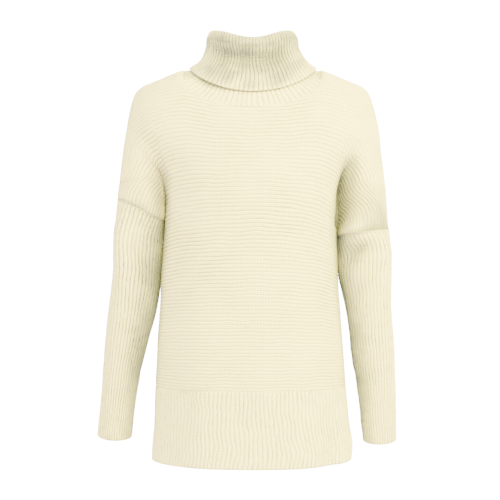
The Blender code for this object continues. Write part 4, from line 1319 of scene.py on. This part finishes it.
bpy.ops.mesh.primitive_uv_sphere_add(segments=8, ring_count=6, radius=1.0)
bead = bpy.context.object
BEAD_SPOTS = np.array([tuple(vertex.co) for vertex in bead.data.vertices])
# The sphere's faces come in an order that differs from run to run, so they are sorted.
BEAD_FACES = sorted(tuple(polygon.vertices) for polygon in bead.data.polygons)
bpy.data.objects.remove(bead)


def seam_chain(name, loop, outwards, lift):
    """A closed row of small leaning stitches along a loop of points."""
    at = lengths(closed(loop))
    count = int(at[-1] / CHAIN_STITCH)
    places = at[-1] * np.arange(count) / count
    centres = read_line(at, closed(loop), places)
    out = unit(read_line(at, closed(outwards), places))
    tangent = unit(np.roll(centres, -1, axis=0) - np.roll(centres, 1, axis=0))
    beside = unit(np.cross(out, tangent))
    lean = CHAIN_LEAN + LEAN_VARIES * uneven(centres, LEAN_SPAN, LEAN_SEED)
    ahead = tangent * np.cos(lean)[:, None] + beside * np.sin(lean)[:, None]
    sideways = np.cross(out, ahead)
    spots, faces = [], []
    for k in range(count):
        axes = np.stack([ahead[k], sideways[k], out[k]]) * np.array(CHAIN_RADII)[:, None]
        spots.extend(BEAD_SPOTS @ axes + centres[k] + out[k] * lift)
        faces.extend(tuple(v + k * len(BEAD_SPOTS) for v in face) for face in BEAD_FACES)
    mesh = bpy.data.meshes.new(name)
    mesh.from_pydata([tuple(spot) for spot in spots], [], faces)
    mesh.materials.append(SEAM_YARN)
    mesh.shade_smooth()
    chain = bpy.data.objects.new(name, mesh)
    bpy.context.scene.collection.objects.link(chain)
    print(name, count, "stitches")
    return chain


def armhole_outwards(side):
    down = armhole_direction(side)
    both = [section_frame(ARMHOLE_SECTION, face, side)[1] for face in ("front", "back")]
    outwards = np.vstack([both[0], both[1][::-1]])
    return unit(outwards - np.outer(outwards @ down, down))


chains = {
    side: seam_chain(name, armhole_loop(side), armhole_outwards(side), lift)
    for side, name, lift in CHAINS
}

# %% [markdown]
# ## Collar
# The roll collar is one tube of upright ribs. It stands up from the neckline seam, turns over at the top,
# and comes down again outside itself to its edge. The cloth shows its other side there, and a rib looks
# alike on both.

# %% Collar piece
COLLAR_LINES = 84
CORNER_CALM = 0.75  # the ribs lie flatter where the edge rests on the shoulders
CORNER_RING = 6.0  # from this ring on
DENT_RING = 4.2  # the dent is in the outer side only, from this ring on
COLLAR_DIP = 0.0002
NECK_SAMPLES = 61  # on each quarter of the neckline seam
# By ring, the share of its height that a rib stands out; below zero it stands out on the side that faces away
# from the neck once the cloth has turned over. It is fullest low on the outer side, and flatter at the edge.
FACING_RINGS = (2.25, 2.5, 3.4, 4.4, 5.2, 6.2, 7.1, 8.0)
FACING_SHARES = (0.5, 0.0, -0.7, -0.85, -1.3, -1.75, -0.8, -0.6)


def neckline_edge():
    """Places and outward directions along the neckline seam, from the middle of the back over the right."""
    places, outwards = [], []
    quarters = (("back", RIGHT, 1), ("front", RIGHT, -1), ("front", LEFT, 1), ("back", LEFT, -1))
    for face, side, way in quarters:
        for section in np.linspace(0.0, NECK_POINT, NECK_SAMPLES)[::way][:-1]:
            _, frame = yoke_frame(section, face, side)
            places.append(frame[0][-1])
            outwards.append(frame[1][-1])
    return np.array(places), unit(np.array(outwards))


def collar_ring(row):
    """One oval of the collar at mid-thickness, from the middle of the back over the wearer's right."""
    ring = {name: values[row] for name, values in COLLAR.items()}
    ahead, behind = np.maximum(-np.cos(RING_TURN), 0.0), np.maximum(np.cos(RING_TURN), 0.0)
    z = ring["side_z"] + (ring["front_z"] - ring["side_z"]) * ahead ** ring["sweep"]
    z = z + (ring["back_z"] - ring["side_z"]) * behind ** ring["sweep"]
    y = SEAM_Y + (ring["back"] - SEAM_Y) * behind - (ring["front"] + SEAM_Y) * ahead
    return np.stack([ring["middle"] - ring["half"] * np.sin(RING_TURN), y, z], axis=1)


def collar():
    shares = rib_stations(COLLAR_RIBS) / COLLAR_RIBS
    places, outwards = neckline_edge()
    along = np.roll(places, -1, axis=0) - np.roll(places, 1, axis=0)
    places = places - unit(np.cross(outwards, along)) * TUCK
    at = lengths(closed(places))
    first_out = unit(read_line(at, closed(outwards), at[-1] * shares))
    first = evenly(places, shares) - first_out * CLOTH / 2
    rings = np.array([first] + [evenly(collar_ring(row), shares) for row in range(len(COLLAR["half"]))])
    steps = np.linalg.norm(np.diff(rings, axis=0), axis=2).mean(axis=1)
    levels = np.concatenate([[0.0], np.cumsum(steps)])
    even = np.linspace(0.0, levels[-1], COLLAR_LINES)
    fine = smooth(levels, rings, even)
    normals, around = ring_frames(fine)
    normals *= np.sign(np.sum(normals[0] * first_out))
    normals[0] = first_out
    number = np.interp(even, levels, np.arange(len(levels)))
    facing = np.interp(number, FACING_RINGS, FACING_SHARES)
    cloth, pushes, prouds = Cloth(), [], []
    for ring, out, across, level, way in zip(fine, normals, around, number, facing):
        cloth.row(shares * COLLAR_RIBS, (ring, out, across))
        aside = (ring[:, 0] - COLLAR_DENT["x"]) / COLLAR_DENT["width"]
        up = (ring[:, 2] - COLLAR_DENT["z"]) / COLLAR_DENT["height"]
        dent = COLLAR_DENT["depth"] * np.exp(-(aside**2) - up**2) * (ring[:, 1] < 0)
        pushes.append(dent * np.clip(level - DENT_RING, 0.0, 1.0))
        corner = np.clip(level - CORNER_RING, 0.0, 1.0) * np.abs(ring[:, 0] / ring[:, 0].max()) ** 8
        prouds.append(way * (1 - CORNER_CALM * corner))
    return cloth.build(
        "roll_collar", COLLAR_YARN, fine[0], (0.0, -2.0, -0.05),
        push=np.concatenate(pushes), proud=np.concatenate(prouds), dip=COLLAR_DIP, middle=True,
    )


roll = collar()

# %% [markdown]
# ## Painted shade in the folds
# Deep places, such as the armpits, the bend under the collar and the gap between arm and body, get little
# light. Their shade is also painted into the yarn's colour: each place counts how much of the sky it sees
# past the other cloth, and the yarn's colour is darkened by it.

# %% How open each place is
SKY_DIRECTIONS = 28
SKY_REACH = 0.12  # cloth farther away than this takes no light
SKY_START = 0.004  # rays start off the cloth by this much, clear of the ribs themselves
EVERY = 16  # one vertex in so many is measured, and the rest read the nearest ones
OPEN_AT = 0.75  # what an open stretch of cloth sees
PAINTED_FOLD_DARKENING = {"least": 0.14, "power": 1.7}  # painted shade: the share of the yarn's colour that a closed-in place keeps, and how fast it falls to it
NEAREST = 20  # how many measured places are averaged
PICK_SEED = 17
SIDES_APART = 0.015  # keeps the two sides of the cloth apart when the nearest measured places are looked up


def mesh_points(piece):
    """Places and normals of a piece's vertices."""
    mesh = piece.data
    spots, normals = np.empty(3 * len(mesh.vertices)), np.empty(3 * len(mesh.vertices))
    mesh.vertices.foreach_get("co", spots)
    mesh.vertex_normals.foreach_get("vector", normals)
    return spots.reshape(-1, 3), normals.reshape(-1, 3)


def sky():
    """Directions over the upper half of a ball, closer together near the top."""
    count = np.arange(SKY_DIRECTIONS)
    radius = np.sqrt((count + 0.5) / SKY_DIRECTIONS)
    turn = count * math.pi * (3 - math.sqrt(5))
    return np.stack([radius * np.cos(turn), radius * np.sin(turn), np.sqrt(1 - radius**2)], axis=1)


def measured_openness(spots, normals, cloth_tree):
    """The share of the sky that is free of cloth, at each spot."""
    helper = np.where(np.abs(normals[:, 2:]) < 0.8, [[0.0, 0.0, 1.0]], [[1.0, 0.0, 0.0]])
    first = unit(np.cross(normals, helper))
    second = np.cross(normals, first)
    ways = sky()
    shares = []
    for start, out, one, two in zip(spots + normals * SKY_START, normals, first, second):
        rays = ways @ np.stack([one, two, out])
        free = sum(cloth_tree.ray_cast(start, ray, SKY_REACH)[0] is None for ray in rays)
        shares.append(free / SKY_DIRECTIONS)
    return np.array(shares)


def paint_fold_shade(piece, cloth_tree):
    spots, normals = mesh_points(piece)
    picked = np.random.default_rng(PICK_SEED).permutation(len(spots))[::EVERY]
    shares = measured_openness(spots[picked], normals[picked], cloth_tree)
    apart = spots + normals * SIDES_APART
    near = KDTree(len(picked))
    for k, spot in enumerate(apart[picked]):
        near.insert(spot, k)
    near.balance()
    found = np.array([[k for _, k, _ in near.find_n(spot, NEAREST)] for spot in apart])
    openness = shares[found].mean(axis=1)
    # Painted shade, kept in the openness attribute: the less sky a place sees, the darker its yarn's colour.
    painted_fold_shade = PAINTED_FOLD_DARKENING["least"] + (1 - PAINTED_FOLD_DARKENING["least"]) * np.clip(openness / OPEN_AT, 0.0, 1.0) ** PAINTED_FOLD_DARKENING["power"]
    layer = piece.data.attributes.new("openness", "FLOAT", "POINT")
    layer.data.foreach_set("value", painted_fold_shade.astype(np.float32))
    print(piece.name, "openness from", round(float(shares.min()), 2), "to", round(float(shares.max()), 2))


cloth_pieces = [*panels.values(), *hems.values(), *sleeves.values(), roll]
all_spots, all_faces = [], []
for piece in cloth_pieces:
    start = len(all_spots)
    all_spots.extend(mesh_points(piece)[0].tolist())
    all_faces.extend([start + v for v in polygon.vertices] for polygon in piece.data.polygons)
cloth_tree = BVHTree.FromPolygons(all_spots, all_faces)
for piece in (*cloth_pieces, *chains.values()):
    paint_fold_shade(piece, cloth_tree)

# %% [markdown]
# ## The pieces stand for the imported ones
# Each cloth piece replaces its solid, which is hidden, and rides with the body. The flat sizes are those that
# a knitter would knit: each piece's width along its ribs or across them, and its length.

# %% Pieces and their cut
CUTS = (  # piece, node, flat width and length, and the area where the cut isn't a rectangle
    (panels["front"], "body_front", (0.56, 0.54), 0.262),
    (panels["back"], "body_back", (0.56, 0.55), 0.270),
    (hems["front"], "hem_front", (0.44, 0.13), None),
    (hems["back"], "hem_back", (0.43, 0.13), None),
    (sleeves[RIGHT], "sleeve_right", (0.34, 0.39), 0.105),
    (sleeves[LEFT], "sleeve_left", (0.34, 0.37), 0.100),
    (roll, "collar", (0.52, 0.20), None),
)
for piece, node, flat, area in CUTS:
    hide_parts(node)
    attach(piece, "root")
for side, node in ((RIGHT, "sleeve_right"), (LEFT, "sleeve_left")):
    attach(chains[side], "root")
print("replaced", [node for _, node, _, _ in CUTS])
